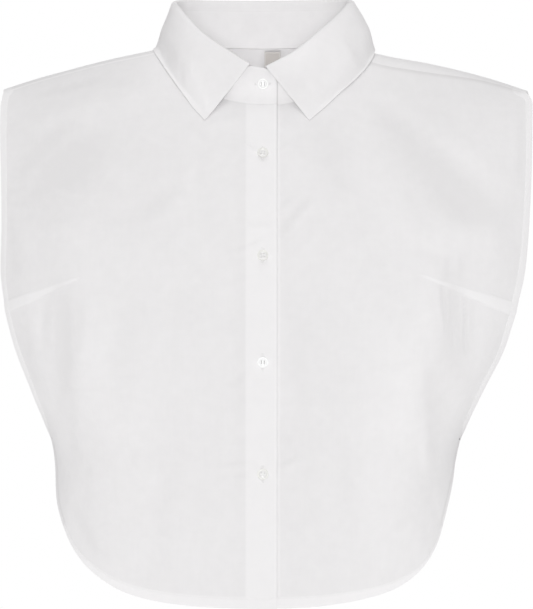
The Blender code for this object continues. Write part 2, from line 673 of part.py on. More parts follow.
def make_leaf(finish):
    ends = math.radians(STATIONS[0].turn), math.radians(STATIONS[-1].turn)
    turns = np.linspace(*ends, LEAF_COLUMNS + 1)
    here, out, up = fold_frame(turns)
    rise = leaf_rise(turns)[:, None]
    free = np.stack([edge_x(turns), edge_y(turns), edge_z(turns)], -1)
    reach = LEAF_ROLL + LEAF_WALL / 2
    behind = reach - lap_shift(turns)[:, None]  # it stays on the stand where that moves
    bow = leaf_bow(turns)[:, None]
    rows = [free]
    start = here + out * reach - up * LEAF_ROLL
    for share in (0.9, 0.68, 0.45, 0.2):
        rows.append(start + (free - start) * share + out * bow * 4 * share * (1 - share))
    for angle in (0, 45, 90, 135):
        swing = math.radians(angle)
        across = (reach if angle < 90 else behind) * math.cos(swing)
        rows.append(here + out * across + up * (reach * math.sin(swing) - LEAF_ROLL))
    rows.append(here - out * behind - up * LEAF_ROLL)
    rows.append(here - out * behind - up * rise)
    cloth_grid("collar_leaf", np.stack(rows), finish, (0, -1, 0), LEAF_WALL)


# ---- buttons and label ---------------------------------------------------------------------------------
def button_mesh(finish):
    """A four-hole button, face up on +Z with its back at the origin: a turned profile with its holes cut."""
    rim, dish = BUTTON_THICKNESS, BUTTON_THICKNESS * 0.62
    profile = (
        (0.0, dish),
        (BUTTON_RADIUS * 0.62, dish),
        (BUTTON_RADIUS * 0.80, rim),
        (BUTTON_RADIUS * 0.93, rim * 0.93),
        (BUTTON_RADIUS, rim * 0.55),
        (BUTTON_RADIUS * 0.80, 0.0),
        (0.0, 0.0),
    )
    bm = bmesh.new()
    verts = [bm.verts.new((radius, 0.0, height)) for radius, height in profile]
    for first, second in zip(verts, verts[1:]):
        bm.edges.new((first, second))
    mesh = bpy.data.meshes.new("button")
    bm.to_mesh(mesh)
    bm.free()
    turned = bpy.data.objects.new("button_turned", mesh)
    parts.objects.link(turned)
    screw = turned.modifiers.new("turn", "SCREW")
    screw.steps = screw.render_steps = BUTTON_STEPS
    screw.use_merge_vertices = True
    screw.merge_threshold = 0.00001
    bm = bmesh.new()
    for x in (-BUTTON_HOLE_OUT, BUTTON_HOLE_OUT):
        for y in (-BUTTON_HOLE_OUT, BUTTON_HOLE_OUT):
            place = Matrix.Translation((x, y, BUTTON_THICKNESS / 2))
            bmesh.ops.create_cone(
                bm, cap_ends=True, segments=6, radius1=BUTTON_HOLE, radius2=BUTTON_HOLE,
                depth=BUTTON_THICKNESS * 3, matrix=place,
            )
    drill_mesh = bpy.data.meshes.new("button_holes")
    bm.to_mesh(drill_mesh)
    bm.free()
    drill = bpy.data.objects.new("button_holes", drill_mesh)
    drill.hide_render = True
    drill.display_type = "WIRE"
    cutters.objects.link(drill)
    cut = turned.modifiers.new("holes", "BOOLEAN")
    cut.object = drill
    cut.operation = "DIFFERENCE"
    graph = bpy.context.evaluated_depsgraph_get()
    made = bpy.data.meshes.new_from_object(turned.evaluated_get(graph))
    made.name = "button"
    made.materials.clear()
    made.materials.append(finish)
    made.shade_smooth()
    made.set_sharp_from_angle(angle=math.radians(30))
    bpy.data.objects.remove(turned)
    bpy.data.objects.remove(drill)
    return made


def front_surface(height):
    """The point of the upper front on the button line at a height, and the direction out of it."""
    low, here, high = (form(*chart(0.0, height + step), -1) for step in (-0.004, 0.0, 0.004))
    along = Vector(high - low).normalized()
    normal = Vector((1, 0, 0)).cross(along).normalized()
    if normal.y > 0:
        normal = -normal
    return Vector(here) + normal * LAP_STEP, normal


def stand_surface(height):
    """The same for the upper end of the stand."""
    base = ring_point(np.array([0.0]))[0]
    top = np.array([0.0, -FOLD_FRONT + LEAF_ROLL - STAND_WALL / 2, STAND_END[2].height])
    share = (height - base[2]) / (top[2] - base[2])
    along = Vector(top - base).normalized()
    normal = Vector((1, 0, 0)).cross(along).normalized()
    if normal.y > 0:
        normal = -normal
    return Vector(base + (top - base) * share) + normal * (STAND_WALL + GAP) / 2, normal


def make_buttons(finish):
    shape = button_mesh(finish)
    for i, height in enumerate(BUTTON_HEIGHTS):
        place, normal = (stand_surface if i == 0 else front_surface)(height)
        made = bpy.data.objects.new(f"button_{i + 1}", shape)
        up = (Vector((0, 0, 1)) - normal * normal.z).normalized()
        right = up.cross(normal)
        turned = Matrix((right, up, normal)).transposed().to_4x4()
        made.matrix_world = Matrix.Translation(place + normal * BUTTON_OFF) @ turned
        parts.objects.link(made)


def make_label(finish):
    """A small tab that hangs from the neck seam, just inside the back."""
    x, z = np.meshgrid(np.linspace(LABEL_LEFT, LABEL_RIGHT, 4), np.linspace(LABEL_BOTTOM, LABEL_TOP, 5))
    grid = chart(x, z)
    points = form(grid[..., 0], grid[..., 1], 1)
    down = np.linspace(1, 0, len(points))[:, None, None]
    off = CLOTH + LABEL_OFF_TOP + (LABEL_OFF_BOTTOM - LABEL_OFF_TOP) * down
    points = points - outward(points, np.array([0.0, 1.0, 0.6])) * off
    cloth_grid("neck_label", points, finish, (0, 1, 0), LABEL_WALL)


# ---- the model -----------------------------------------------------------------------------------------
for old in list(bpy.data.objects):
    bpy.data.objects.remove(old)
parts = bpy.data.collections.new("detachable_shirt_collar")
cutters = bpy.data.collections.new("cutters")
for collection in (parts, cutters):
    bpy.context.scene.collection.children.link(collection)

poplin = material("poplin", (0.80, 0.79, 0.80), 0.85)
button_white = material("button_white", (0.84, 0.83, 0.83), 0.35)
tape = material("label_tape", (0.56, 0.53, 0.50), 0.8)

neck_right = make_front("front_right", -1, 1, poplin)
neck_left = make_front("front_left", 1, -1, poplin)
neck_back = make_back(poplin)
make_stand(neck_right, neck_back, neck_left, poplin)
make_leaf(poplin)
make_buttons(button_white)
make_label(tape)
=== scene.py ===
# %% [markdown]
# # Dressing a detachable shirt collar
#
# The real object is the front and back of a white poplin shirt, cut without sleeves and open at both sides,
# with a proper collar on a stand. It is worn under a jumper, so that only the collar and the button band
# show. Here it hangs filled out as it is worn, with nobody in it.
#
# The solid model gives every piece its place and its outline. This lesson takes the outer skin of each cloth
# piece, smooths it, lays soft creases in it, gives it a thin wall, and then adds what a seamstress would add:
# hems, stitches, buttonholes, buttons and their thread, and a small bare label.

# %% Load the solid model as a fixed frame
import json
import math
from collections import namedtuple

import bmesh
import bpy
import numpy as np
from mathutils import Matrix, Vector, kdtree

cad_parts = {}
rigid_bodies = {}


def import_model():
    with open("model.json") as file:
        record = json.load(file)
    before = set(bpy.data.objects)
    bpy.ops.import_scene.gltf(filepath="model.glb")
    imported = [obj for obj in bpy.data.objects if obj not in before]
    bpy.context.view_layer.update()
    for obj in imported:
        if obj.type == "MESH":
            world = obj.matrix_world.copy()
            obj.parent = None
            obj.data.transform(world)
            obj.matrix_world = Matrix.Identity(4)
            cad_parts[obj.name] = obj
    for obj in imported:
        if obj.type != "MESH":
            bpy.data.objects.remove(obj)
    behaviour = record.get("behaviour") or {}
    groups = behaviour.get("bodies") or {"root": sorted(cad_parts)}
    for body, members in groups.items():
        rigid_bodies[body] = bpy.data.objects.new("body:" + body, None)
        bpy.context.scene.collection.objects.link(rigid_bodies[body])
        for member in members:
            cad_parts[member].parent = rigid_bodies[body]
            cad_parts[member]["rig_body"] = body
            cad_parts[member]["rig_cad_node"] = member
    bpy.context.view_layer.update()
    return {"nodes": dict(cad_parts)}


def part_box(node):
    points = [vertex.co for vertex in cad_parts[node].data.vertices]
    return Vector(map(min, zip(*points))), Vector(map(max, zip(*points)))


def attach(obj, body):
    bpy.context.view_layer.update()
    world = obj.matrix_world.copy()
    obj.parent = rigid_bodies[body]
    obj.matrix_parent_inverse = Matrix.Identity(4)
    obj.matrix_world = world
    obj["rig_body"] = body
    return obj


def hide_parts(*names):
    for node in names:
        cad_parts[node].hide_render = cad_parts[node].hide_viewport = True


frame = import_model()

print("solid pieces:", ", ".join(sorted(frame["nodes"])))

# %% [markdown]
# ## The view
#
# A garment on a plain white ground is usually taken from some way off with a long lens, so that its sides
# don't splay. The camera stands three metres in front, level with the middle of the shirt. It is made first,
# because creases are placed by where they are seen from there.

# %% Put the camera three metres in front
CAMERA = Vector((0.003, -3.0, -0.221))
SENSOR = 36.0  # millimetres
VIEW_HEIGHT = 0.51765  # what the view takes in from top to bottom, at the line of the shoulders
bpy.ops.object.camera_add(location=CAMERA, rotation=(math.radians(90), 0, 0))
camera = bpy.context.active_object
camera.name = "camera"
camera.data.sensor_width = SENSOR
camera.data.sensor_fit = "AUTO"
camera.data.lens = SENSOR * -CAMERA.y / VIEW_HEIGHT
camera.data.clip_end = 50.0
bpy.context.scene.camera = camera
print(f"lens {camera.data.lens:.1f} mm")

# %% [markdown]
# ## Taking a skin from a solid
#
# A cloth piece in the solid model is a closed wall. Its outer skin is the pattern piece itself, so that is
# what a maker would start from. The solid's own mesh is loose triangles and stays untouched: a copy is
# merged, its sharp rim is marked as a seam, the largest patch inside the seam is kept, and the rest is
# deleted. The triangles are then joined into quads, which smooth and fold better.

# %% Helpers to select and apply
def only(piece):
    """Selects one object and nothing else."""
    if bpy.context.mode != "OBJECT":
        bpy.ops.object.mode_set(mode="OBJECT")
    bpy.ops.object.select_all(action="DESELECT")
    piece.select_set(True)
    bpy.context.view_layer.objects.active = piece
    return piece


def apply(piece, kind, **settings):
    """Adds a modifier to a piece and applies it."""
    only(piece)
    modifier = piece.modifiers.new(kind.lower(), kind)
    for key, value in settings.items():
        setattr(modifier, key, value)
    bpy.ops.object.modifier_apply(modifier=modifier.name)


def round_edges(piece, width, segments, sharper):
    """Rounds the edges of a piece that are sharper than an angle in degrees."""
    limit = math.radians(sharper)
    apply(piece, "BEVEL", width=width, segments=segments, limit_method="ANGLE", angle_limit=limit)


def points_of(piece):
    """The places of a piece's points."""
    points = np.empty(len(piece.data.vertices) * 3)
    piece.data.vertices.foreach_get("co", points)
    return points.reshape(-1, 3)


def normals_of(piece):
    """The directions in which a piece's points face."""
    normals = np.empty(len(piece.data.vertices) * 3)
    piece.data.vertices.foreach_get("normal", normals)
    return normals.reshape(-1, 3)


def move_points(piece, points):
    """Puts a piece's points in new places."""
    piece.data.vertices.foreach_set("co", points.ravel())
    piece.data.update()


# %% Take the outer skin of a solid
MERGE_WITHIN = 1e-5
SHARP_RIM = math.radians(60)
QUAD_BEND = math.radians(70)


def outer_skin(node, name):
    """A copy of a solid's mesh, cut down to its outer skin."""
    only(frame["nodes"][node])
    bpy.ops.object.duplicate()
    skin = bpy.context.active_object
    skin.name = skin.data.name = name
    skin.parent = None
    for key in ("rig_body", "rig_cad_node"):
        del skin[key]
    skin.data.materials.clear()
    bpy.ops.object.mode_set(mode="EDIT")
    bpy.ops.mesh.select_mode(type="EDGE")
    bpy.ops.mesh.select_all(action="SELECT")
    bpy.ops.mesh.remove_doubles(threshold=MERGE_WITHIN)
    bpy.ops.mesh.select_all(action="DESELECT")
    bpy.ops.mesh.edges_select_sharp(sharpness=SHARP_RIM)
    bpy.ops.mesh.mark_seam(clear=False)
    keep_largest_patch(skin)
    bpy.ops.object.mode_set(mode="EDIT")
    bpy.ops.mesh.select_all(action="SELECT")
    bpy.ops.mesh.mark_seam(clear=True)
    bpy.ops.mesh.tris_convert_to_quads(
        face_threshold=QUAD_BEND, shape_threshold=QUAD_BEND, topology_influence=1.5
    )
    bpy.ops.object.mode_set(mode="OBJECT")
    return skin


def keep_largest_patch(skin):
    """Deletes all but the largest patch of faces that seams enclose."""
    bpy.ops.object.mode_set(mode="OBJECT")
    bm = bmesh.new()
    bm.from_mesh(skin.data)
    left, best, most = set(bm.faces), None, 0.0
    while left:
        patch, edge = set(), [left.pop()]
        while edge:
            face = edge.pop()
            patch.add(face)
            for side in face.edges:
                if not side.seam:
                    near = [other for other in side.link_faces if other in left]
                    left.difference_update(near)
                    edge.extend(near)
        area = sum(face.calc_area() for face in patch)
        if area > most:
            best, most = patch, area
    bmesh.ops.delete(bm, geom=[face for face in bm.faces if face not in best], context="FACES")
    bm.to_mesh(skin.data)
    bm.free()


# %% [markdown]
# ## Flattening it to its cut
#
# Every cloth piece was flat on the cutting table, with the threads of the weave straight up it. Blender's
# unwrap lays the skin flat again. The flat shape is then scaled so that one unit is one metre of cloth and
# turned so that its grain runs up the shirt. The weave is drawn on it, and the size of the cut is printed.

# %% Lay a skin flat, in metres
def flatten(skin, upright=True):
    """Unwraps a skin to its cut, and returns the cut's width, length and area."""
    only(skin)
    bpy.ops.object.mode_set(mode="EDIT")
    bpy.ops.mesh.select_all(action="SELECT")
    bpy.ops.uv.unwrap(method="ANGLE_BASED", margin=0.0)
    bpy.ops.object.mode_set(mode="OBJECT")
    mesh = skin.data
    mesh.uv_layers.active.name = "cut"
    flat = np.empty(len(mesh.loops) * 2)
    mesh.uv_layers["cut"].uv.foreach_get("vector", flat)
    flat = flat.reshape(-1, 2)
    corner = np.empty(len(mesh.loops), int)
    mesh.loops.foreach_get("vertex_index", corner)
    drawn = 0.0
    for face in mesh.polygons:
        u, v = flat[face.loop_start : face.loop_start + face.loop_total].T
        drawn += 0.5 * (u @ np.roll(v, -1) - v @ np.roll(u, -1))
    area = sum(face.area for face in mesh.polygons)
    flat = (flat - flat.mean(0)) * math.sqrt(area / abs(drawn))
    seen = points_of(skin)[corner][:, [0, 2]]
    if upright:
        fit = np.linalg.lstsq(flat, seen - seen.mean(0), rcond=None)[0]
        u, _, v = np.linalg.svd(fit)
        flat = flat @ (u @ v)
    else:
        flat = flat @ np.linalg.svd(flat, full_matrices=False)[2].T
    mesh.uv_layers["cut"].uv.foreach_set("vector", flat.ravel())
    width, length = np.ptp(flat, axis=0)
    print(f"{skin.name}: cut {width * 1000:.0f} x {length * 1000:.0f} mm, {area * 1e4:.0f} square cm")
    return float(width), float(length), float(area)


# %% [markdown]
# ## Reading and marking the edges
#
# A hem is cloth folded in once or twice and sewn down, so it is a little thicker and lighter than the rest,
# with a shallow line where the stitches pull. Each point of a skin is told how far it is from the nearest
# hemmed edge. The finish reads that distance, which stays exact between the points, so a line under a
# millimetre wide needs no finer mesh.

# %% Walk round the edge of a skin
def middle_round(vert):
    """The middle of the faces round a point."""
    return sum((face.calc_center_median() for face in vert.link_faces), Vector()) / len(vert.link_faces)


def edge_walk(skin):
    """The edge's points in order, their normals, and the direction into the cloth at each."""
    bm = bmesh.new()
    bm.from_mesh(skin.data)
    bm.normal_update()
    here = next(vert for vert in bm.verts if vert.is_boundary)
    walk, before = [], None
    while not walk or here is not walk[0]:
        walk.append(here)
        ahead = [side.other_vert(here) for side in here.link_edges if side.is_boundary]
        here, before = (ahead[0] if ahead[0] is not before else ahead[1]), here
    points = np.array([vert.co for vert in walk])
    normals = np.array([vert.normal for vert in walk])
    centre = np.array([middle_round(vert) for vert in walk])
    bm.free()
    along = np.roll(points, -1, 0) - np.roll(points, 1, 0)
    along /= np.linalg.norm(along, axis=1, keepdims=True)
    inward = np.cross(normals, along)
    inward *= np.sign(((centre - points) * inward).sum(1, keepdims=True))
    return points, normals, inward


# %% Measure along a line and to the nearest of some places
FILL_STEP = 0.0006


def tree_of(places):
    """A search tree over some places."""
    tree = kdtree.KDTree(len(places))
    for i, place in enumerate(places):
        tree.insert(place, i)
    tree.balance()
    return tree


def nearest(points, targets):
    """Distance of each point from the nearest of some targets."""
    tree = tree_of(targets)
    return np.array([tree.find(place)[2] for place in points])


def runs_of(points):
    """How far along a line of points each of them is."""
    return np.concatenate([[0], np.cumsum(np.linalg.norm(np.diff(points, axis=0), axis=1))])


def spots_at(points, runs, at):
    """The places at some distances along a line of points."""
    return np.stack([np.interp(at, runs, points[:, k]) for k in range(3)], 1)


def filled(points, step=FILL_STEP, closed=False):
    """More points along a line of points, a step apart. A closed line runs back to its first point."""
    if closed:
        points = np.concatenate([points, points[:1]])
    runs = runs_of(points)
    return spots_at(points, runs, np.linspace(0, runs[-1], max(int(runs[-1] / step), 2)))


def filled_runs(walk, part):
    """The stretches of a walk that belong to a part, each filled with points."""
    return np.concatenate([filled(walk[[i - 1, i]]) for i in range(len(walk)) if part[i] and part[i - 1]])


def mark(piece, name, values):
    """Stores one number at each point of a piece, for its finish to read."""
    layer = piece.data.attributes.new(name, "FLOAT", "POINT")
    layer.data.foreach_set("value", np.asarray(values, np.float32))


# %% Say which edges are hemmed
BAND_EDGE = 0.0115  # the free edge of either button band, past the line of the buttons
BAND_FOLD = 0.0140  # the folded-in edge of the facing behind it
BAND_LOW = -0.4690  # where the band's free edge runs out into the tail
ON_BAND = 0.0008  # how near to that edge a point counts as on it
NECK_HALF = 0.0785  # from the middle of the neck to where its seam meets a shoulder seam
NECK_LOW, SHOULDER_LOW = -0.060, -0.040  # nothing above these heights is hemmed, inside and outside the neck
HemDepth = namedtuple("HemDepth", "height right left")
HEM_DEPTHS = (
    HemDepth(-0.462, 0.0088, 0.0088),  # the tail
    HemDepth(-0.442, 0.0060, 0.0042),
    HemDepth(-0.428, 0.0042, 0.0022),
    HemDepth(-0.400, 0.0030, 0.0022),  # the open side and its join
    HemDepth(-0.335, 0.0030, 0.0030),
    HemDepth(-0.322, 0.0066, 0.0100),  # from the side up to the dart
    HemDepth(-0.200, 0.0072, 0.0090),
    HemDepth(-0.100, 0.0062, 0.0064),  # the armhole
)


def hem_depth(points):
    """How deep the hem is near some points, on the wearer's right and on the wearer's left."""
    heights, right, left = zip(*HEM_DEPTHS)
    on_right, on_left = (np.interp(points[:, 2], heights, depths) for depths in (right, left))
    return np.where(points[:, 0] < 0, on_right, on_left)


def is_hemmed(points, side):
    """True along armholes, sides and tails, and false along the neck, the shoulders and the button band."""
    x, z = points[:, 0], points[:, 2]
    neck = (np.abs(x) < NECK_HALF) & (z > NECK_LOW)
    shoulder = z > SHOULDER_LOW
    band = (side != 0) & (np.abs(x + side * BAND_EDGE) < ON_BAND) & (z > BAND_LOW)
    return ~(neck | shoulder | band)


print(f"hems: {HEM_DEPTHS[0].right * 1000:.1f} mm deep at the tail")

# %% Mark how far each point is from the seams
NECK_SEAM_LOW, SHOULDER_SEAM_LOW = -0.0560, -0.0405
SLIT_LOW, SLIT_TOP = -0.404, -0.334  # from the open side below the join to the top of the join
AS_FLAT = np.array([1, 0, 1])  # leaves out the depth, so that a distance is as it is seen from the front


def mark_seams(skin, walk, side):
    """Marks how far each point is from the seams and the side in metres, and from a hemmed edge in hems."""
    points, (x, z) = points_of(skin), walk[:, [0, 2]].T
    hemmed = is_hemmed(walk, side)
    shoulder = ~hemmed & (np.abs(x) > NECK_HALF) & (z > SHOULDER_SEAM_LOW)
    neck = ~hemmed & (np.abs(x) < NECK_HALF) & (z > NECK_SEAM_LOW)
    slit = hemmed & (z > SLIT_LOW) & (z < SLIT_TOP)
    to_hem = nearest(points, filled_runs(walk, hemmed)) / hem_depth(points)
    mark(skin, "to_hem", to_hem)
    mark(skin, "to_shoulder", nearest(points, filled_runs(walk, shoulder)))
    mark(skin, "to_neck", nearest(points, filled_runs(walk, neck)))
    mark(skin, "to_slit", nearest(points * AS_FLAT, filled_runs(walk, slit) * AS_FLAT))
    return to_hem


# %% [markdown]
# ## Creases and tones
#
# Pressed poplin never lies quite flat. It keeps soft, uneven creases where it was folded, where the dart
# ends, where a button pulls, and where the weight of the tail drags. A simulation would find its own, so
# these are listed: each row of a table is one crease, from a point to a point as it is seen from the
# front, in millimetres, with a bow in its middle, a width, and a depth that is negative for a trough.
#
# Thin white cloth also changes its tone where it isn't folded. It looks lighter where light comes through it,
# and darker where less of it does. A second table of such rows paints that light and shade into the colour: a
# positive depth paints it lighter, a negative one paints shade, and neither moves the cloth. The finish also
# paints shade in the troughs of the creases and light on their rises.

# %% Lay creases in a skin
Crease = namedtuple("Crease", "x_from z_from x_to z_to bow width depth")
CREASE_STEPS = 14  # places along a crease, of which the nearest one counts
DEPTH_UNIT = 0.0013  # how far a crease of depth 1 moves the cloth
END_FADE = 0.8  # below 1 a crease stays deep until near its ends
BANK_OFF, BANK_WIDTH, BANK_RISE = 1.7, 1.2, 0.4  # the low bank beside a crease, in its widths and its depth


def table(*rows):
    """A table of creases or tones from plain rows."""
    return [Crease(*row) for row in rows]


def as_seen(points):
    """Where points are seen from the camera, in millimetres on the plane of the shoulders."""
    nearer = CAMERA.y / (CAMERA.y - points[:, 1])
    return np.stack([(points[:, k] - CAMERA[k]) * nearer + CAMERA[k] for k in (0, 2)], 1) * 1000


def relief(seen, rows):
    """How far a table of creases moves each point out, in metres."""
    moved = np.zeros(len(seen))
    for row in rows:
        start, end = np.array([row.x_from, row.z_from]), np.array([row.x_to, row.z_to])
        along = end - start
        length = float(np.hypot(*along))
        across = np.array([along[1], -along[0]]) / length
        best = np.full(len(seen), np.inf)
        off, run = np.zeros(len(seen)), np.zeros(len(seen))
        for share in np.linspace(0, 1, CREASE_STEPS):
            place = start + along * share + across * row.bow * 4 * share * (1 - share)
            gone = seen - place
            near = np.hypot(gone[:, 0], gone[:, 1])
            closer = near < best
            best[closer], off[closer] = near[closer], (gone @ across)[closer]
            run[closer] = (share + gone @ along / length**2)[closer]
        run = np.clip(run, 0, 1)
        ends = np.sin(math.pi * run) ** END_FADE
        bank = np.exp(-(((off - BANK_OFF * row.width) / (BANK_WIDTH * row.width)) ** 2))
        shape = np.exp(-((off / row.width) ** 2)) - BANK_RISE * bank
        within = np.exp(-(np.maximum(best - np.abs(off), 0) / row.width) ** 2)
        moved += row.depth * DEPTH_UNIT * ends * shape * within
    return moved


# %% [markdown]
# ## From skin to cloth
#
# One smoothing step rounds the facets, and two cuts between every pair of points give the creases something
# to bend. The creases are then laid, and Solidify adds a wall on the inside. Where the cloth is doubled, at
# hems and bands, the wall is thicker. Every cloth piece goes through these steps, so each is a function. The
# last one hides the piece's solid and hangs the piece on the root body.

# %% Smooth, crease and thicken
WALL, WALL_DOUBLED = 0.0006, 0.0010
SMOOTH_BELOW = math.radians(55)


def smooth_skin(skin, cuts=2):
    """Rounds the facets of a skin and cuts it finer."""
    apply(skin, "SUBSURF", levels=1, render_levels=1, boundary_smooth="PRESERVE_CORNERS")
    only(skin)
    bpy.ops.object.mode_set(mode="EDIT")
    bpy.ops.mesh.select_all(action="SELECT")
    bpy.ops.mesh.subdivide(number_cuts=cuts, smoothness=1.0)
    bpy.ops.object.mode_set(mode="OBJECT")


def lay(skin, creases, painted_light=()):
    """Moves a skin's points along their normals by a table of creases, and marks by how many millimetres.

    Painted light and shade count in that mark as if they moved the cloth, and the finish paints from it."""
    points = points_of(skin)
    seen = as_seen(points)
    moved = relief(seen, creases)
    move_points(skin, points + normals_of(skin) * moved[:, None])
    mark(skin, "fold", (moved + relief(seen, painted_light)) * 1000)


def thicken(skin, wall, doubled=None, wall_doubled=None):
    """Gives a skin its wall on the inner side, thicker where doubled is 1."""
    settings = {"thickness": wall, "offset": -1.0}
    if doubled is not None:
        group = skin.vertex_groups.new(name="doubled")
        for i in np.flatnonzero(doubled):
            group.add([int(i)], 1.0, "REPLACE")
        settings.update(thickness=wall_doubled, vertex_group=group.name)
        settings["thickness_vertex_group"] = wall / wall_doubled
    apply(skin, "SOLIDIFY", **settings)
    skin.vertex_groups.clear()
    skin.data.shade_smooth()
    only(skin)
    bpy.ops.object.shade_smooth_by_angle(angle=SMOOTH_BELOW)


def declare(piece, node):
    """Hides the solid that a cloth piece stands for, and hangs the piece on the root body."""
    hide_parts(node)
    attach(piece, "root")
    print(f"{piece.name}: {len(piece.data.polygons)} faces")


# %% [markdown]
# ## Closing the seams
#
# The solids stop a hair short of each other, so that no two of them touch. Cloth that is sewn together shows
# no daylight in between: the edge of one piece is drawn along the surface to the edge of the next, and a
# twentieth of a millimetre is left, which reads as the line of a seam. The leaf meets the stand on its inner
# side, next to the neck, where the stand's wall ends.

# %% Take all the skins
STAND_WALL, LEAF_WALL = 0.0016, 0.0007
skins, cuts = {}, {}
for node, name, upright in (
    ("front_right", "poplin_right_front", True),
    ("front_left", "poplin_left_front", True),
    ("back", "poplin_back", True),
    ("collar_stand", "collar_stand_band", False),
    ("collar_leaf", "collar_leaf_fall", False),
):
    skins[node] = outer_skin(node, name)
    cuts[node] = flatten(skins[node], upright)
    smooth_skin(skins[node])

# %% Draw their sewn edges together
SEAM_STEP, SEAM_GAP = 0.0004, 0.00005


def close_seam(skin, neighbour, reach, depth):
    """Moves a skin's edge to its neighbour's edge wherever that is within reach, or to a depth behind it."""
    edge, normals, _ = edge_walk(neighbour)
    tree = tree_of(filled(edge - normals * depth, SEAM_STEP, closed=True))
    bm = bmesh.new()
    bm.from_mesh(skin.data)
    moved = 0
    for vert in bm.verts:
        if vert.is_boundary:
            place, _, far = tree.find(vert.co)
            if SEAM_GAP < far < reach:
                vert.co = place + (vert.co - place) * (SEAM_GAP / far)
                moved += 1
    bm.to_mesh(skin.data)
    bm.free()
    print(f"{skin.name}: {moved} edge points drawn to {neighbour.name}")


for node, neighbour, reach, depth in (
    ("front_right", "back", 0.0035, 0.0),
    ("front_left", "back", 0.0035, 0.0),
    ("collar_stand", "front_right", 0.0012, 0.0),
    ("collar_stand", "front_left", 0.0012, 0.0),
    ("collar_stand", "back", 0.0012, 0.0),
    ("collar_leaf", "collar_stand", 0.0030, STAND_WALL),
):
    close_seam(skins[node], skins[neighbour], reach, depth)

# %% [markdown]
# ## Threads
#
# Stitches and worked buttonholes are short lengths of the same cotton, laid side by side or end to end. One
# stitch is modelled from a small sphere, drawn out and flattened. It is then copied along a line, each copy
# turned to its own way and set half into the cloth.

# %% Model one stitch and copy it along a line
STITCH_FLAT = 0.8  # how high a stitch stands for its thickness


def one_stitch():
    """The points and faces of one stitch, a unit long and a unit thick."""
    bpy.ops.object.select_all(action="DESELECT")
    bpy.ops.mesh.primitive_uv_sphere_add(segments=6, ring_count=5, radius=0.5)
    stitch = bpy.context.active_object
    bpy.ops.object.mode_set(mode="EDIT")
    bpy.ops.mesh.select_all(action="SELECT")
    bpy.ops.transform.rotate(value=math.radians(90), orient_axis="Y", center_override=(0, 0, 0))
    bpy.ops.object.mode_set(mode="OBJECT")
    mesh = stitch.data
    shape = points_of(stitch)
    faces = [tuple(face.vertices) for face in mesh.polygons]
    bpy.data.objects.remove(stitch)
    return shape, faces


STITCH, STITCH_FACES = one_stitch()
print("one stitch:", len(STITCH_FACES), "faces")


def sew(name, places, ways, normals, length, thick):
    """One mesh of many stitches, each at a place, lying along a way, with its top towards a normal."""
    points, faces = [], []
    for place, way, normal in zip(places, ways, normals):
        way = way / np.linalg.norm(way)
        across = np.cross(normal, way)
        across /= np.linalg.norm(across)
        top = np.cross(way, across) * STITCH_FLAT
        faces += [tuple(len(points) * len(STITCH) + i for i in face) for face in STITCH_FACES]
        points.append(place + STITCH @ np.array([way * length, across * thick, top * thick]))
    mesh = bpy.data.meshes.new(name)
    mesh.from_pydata(np.concatenate(points).tolist(), [], faces)
    mesh.shade_smooth()
    piece = bpy.data.objects.new(name, mesh)
    bpy.context.scene.collection.objects.link(piece)
    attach(piece, "root")
    print(f"{name}: {len(places)} stitches")
    return piece


def set_on(cloth, places, lift):
    """The nearest places on a cloth, lifted off it a little, and the way the cloth faces there."""
    hits = [cloth.closest_point_on_mesh(Vector(place)) for place in places]
    normals = np.array([hit[2] for hit in hits])
    return np.array([hit[1] for hit in hits]) + normals * lift, normals


# %% [markdown]
# ### Hem stitches and bar tacks
#
# A hem is sewn by machine, about four stitches to the centimetre, just inside its folded-in edge. The
# armhole ends where the front and the back are joined for a short way, and a seamstress makes that point
# strong with a bar tack: a few stitches on top of each other, across the hem.

# %% Sew a hem and a bar tack
STITCH_PITCH, STITCH_SHARE, STITCH_THICK = 0.0027, 0.72, 0.00030
STITCH_LIFT = 0.00004
STRAY = 0.15  # how far from the hem's depth a stitch may lie, as a share of it
TACK_HEIGHT, TACK_INSET = -335.5, 1.0  # where a tack is seen from the front, and how far in, in millimetres
TACK_ROWS = (-0.0005, 0.0, 0.0005)  # the rise of each of its stitches
TACK_LENGTH, TACK_THICK, TACK_LIFT = 0.0040, 0.0008, 0.0003
OUTER = 100  # millimetres from the middle past which an edge belongs to the side


def hem_stitches(skin, side, name):
    """A row of stitches a little way in from a skin's hemmed edges."""
    points, _, inward = edge_walk(skin)
    hemmed = is_hemmed(points, side)
    rims = filled_runs(points, hemmed)
    start = int(np.argmax(hemmed & ~np.roll(hemmed, 1)))
    points, inward, hemmed = (np.roll(a, -start, 0) for a in (points, inward, hemmed))
    points, inward = points[hemmed], inward[hemmed]
    inner = points + inward * hem_depth(points)[:, None]
    runs = runs_of(inner)
    line = spots_at(inner, runs, np.arange(STITCH_PITCH, runs[-1] - STITCH_PITCH, STITCH_PITCH))
    away = nearest(line, rims) / hem_depth(line)
    placed, normals = set_on(skin, line[np.abs(away - 1) < STRAY], STITCH_LIFT)
    ways = np.gradient(placed, axis=0)
    near = np.linalg.norm(ways, axis=1) < STITCH_PITCH * 1.5
    return sew(name, placed[near], ways[near], normals[near], STITCH_PITCH * STITCH_SHARE, STITCH_THICK)


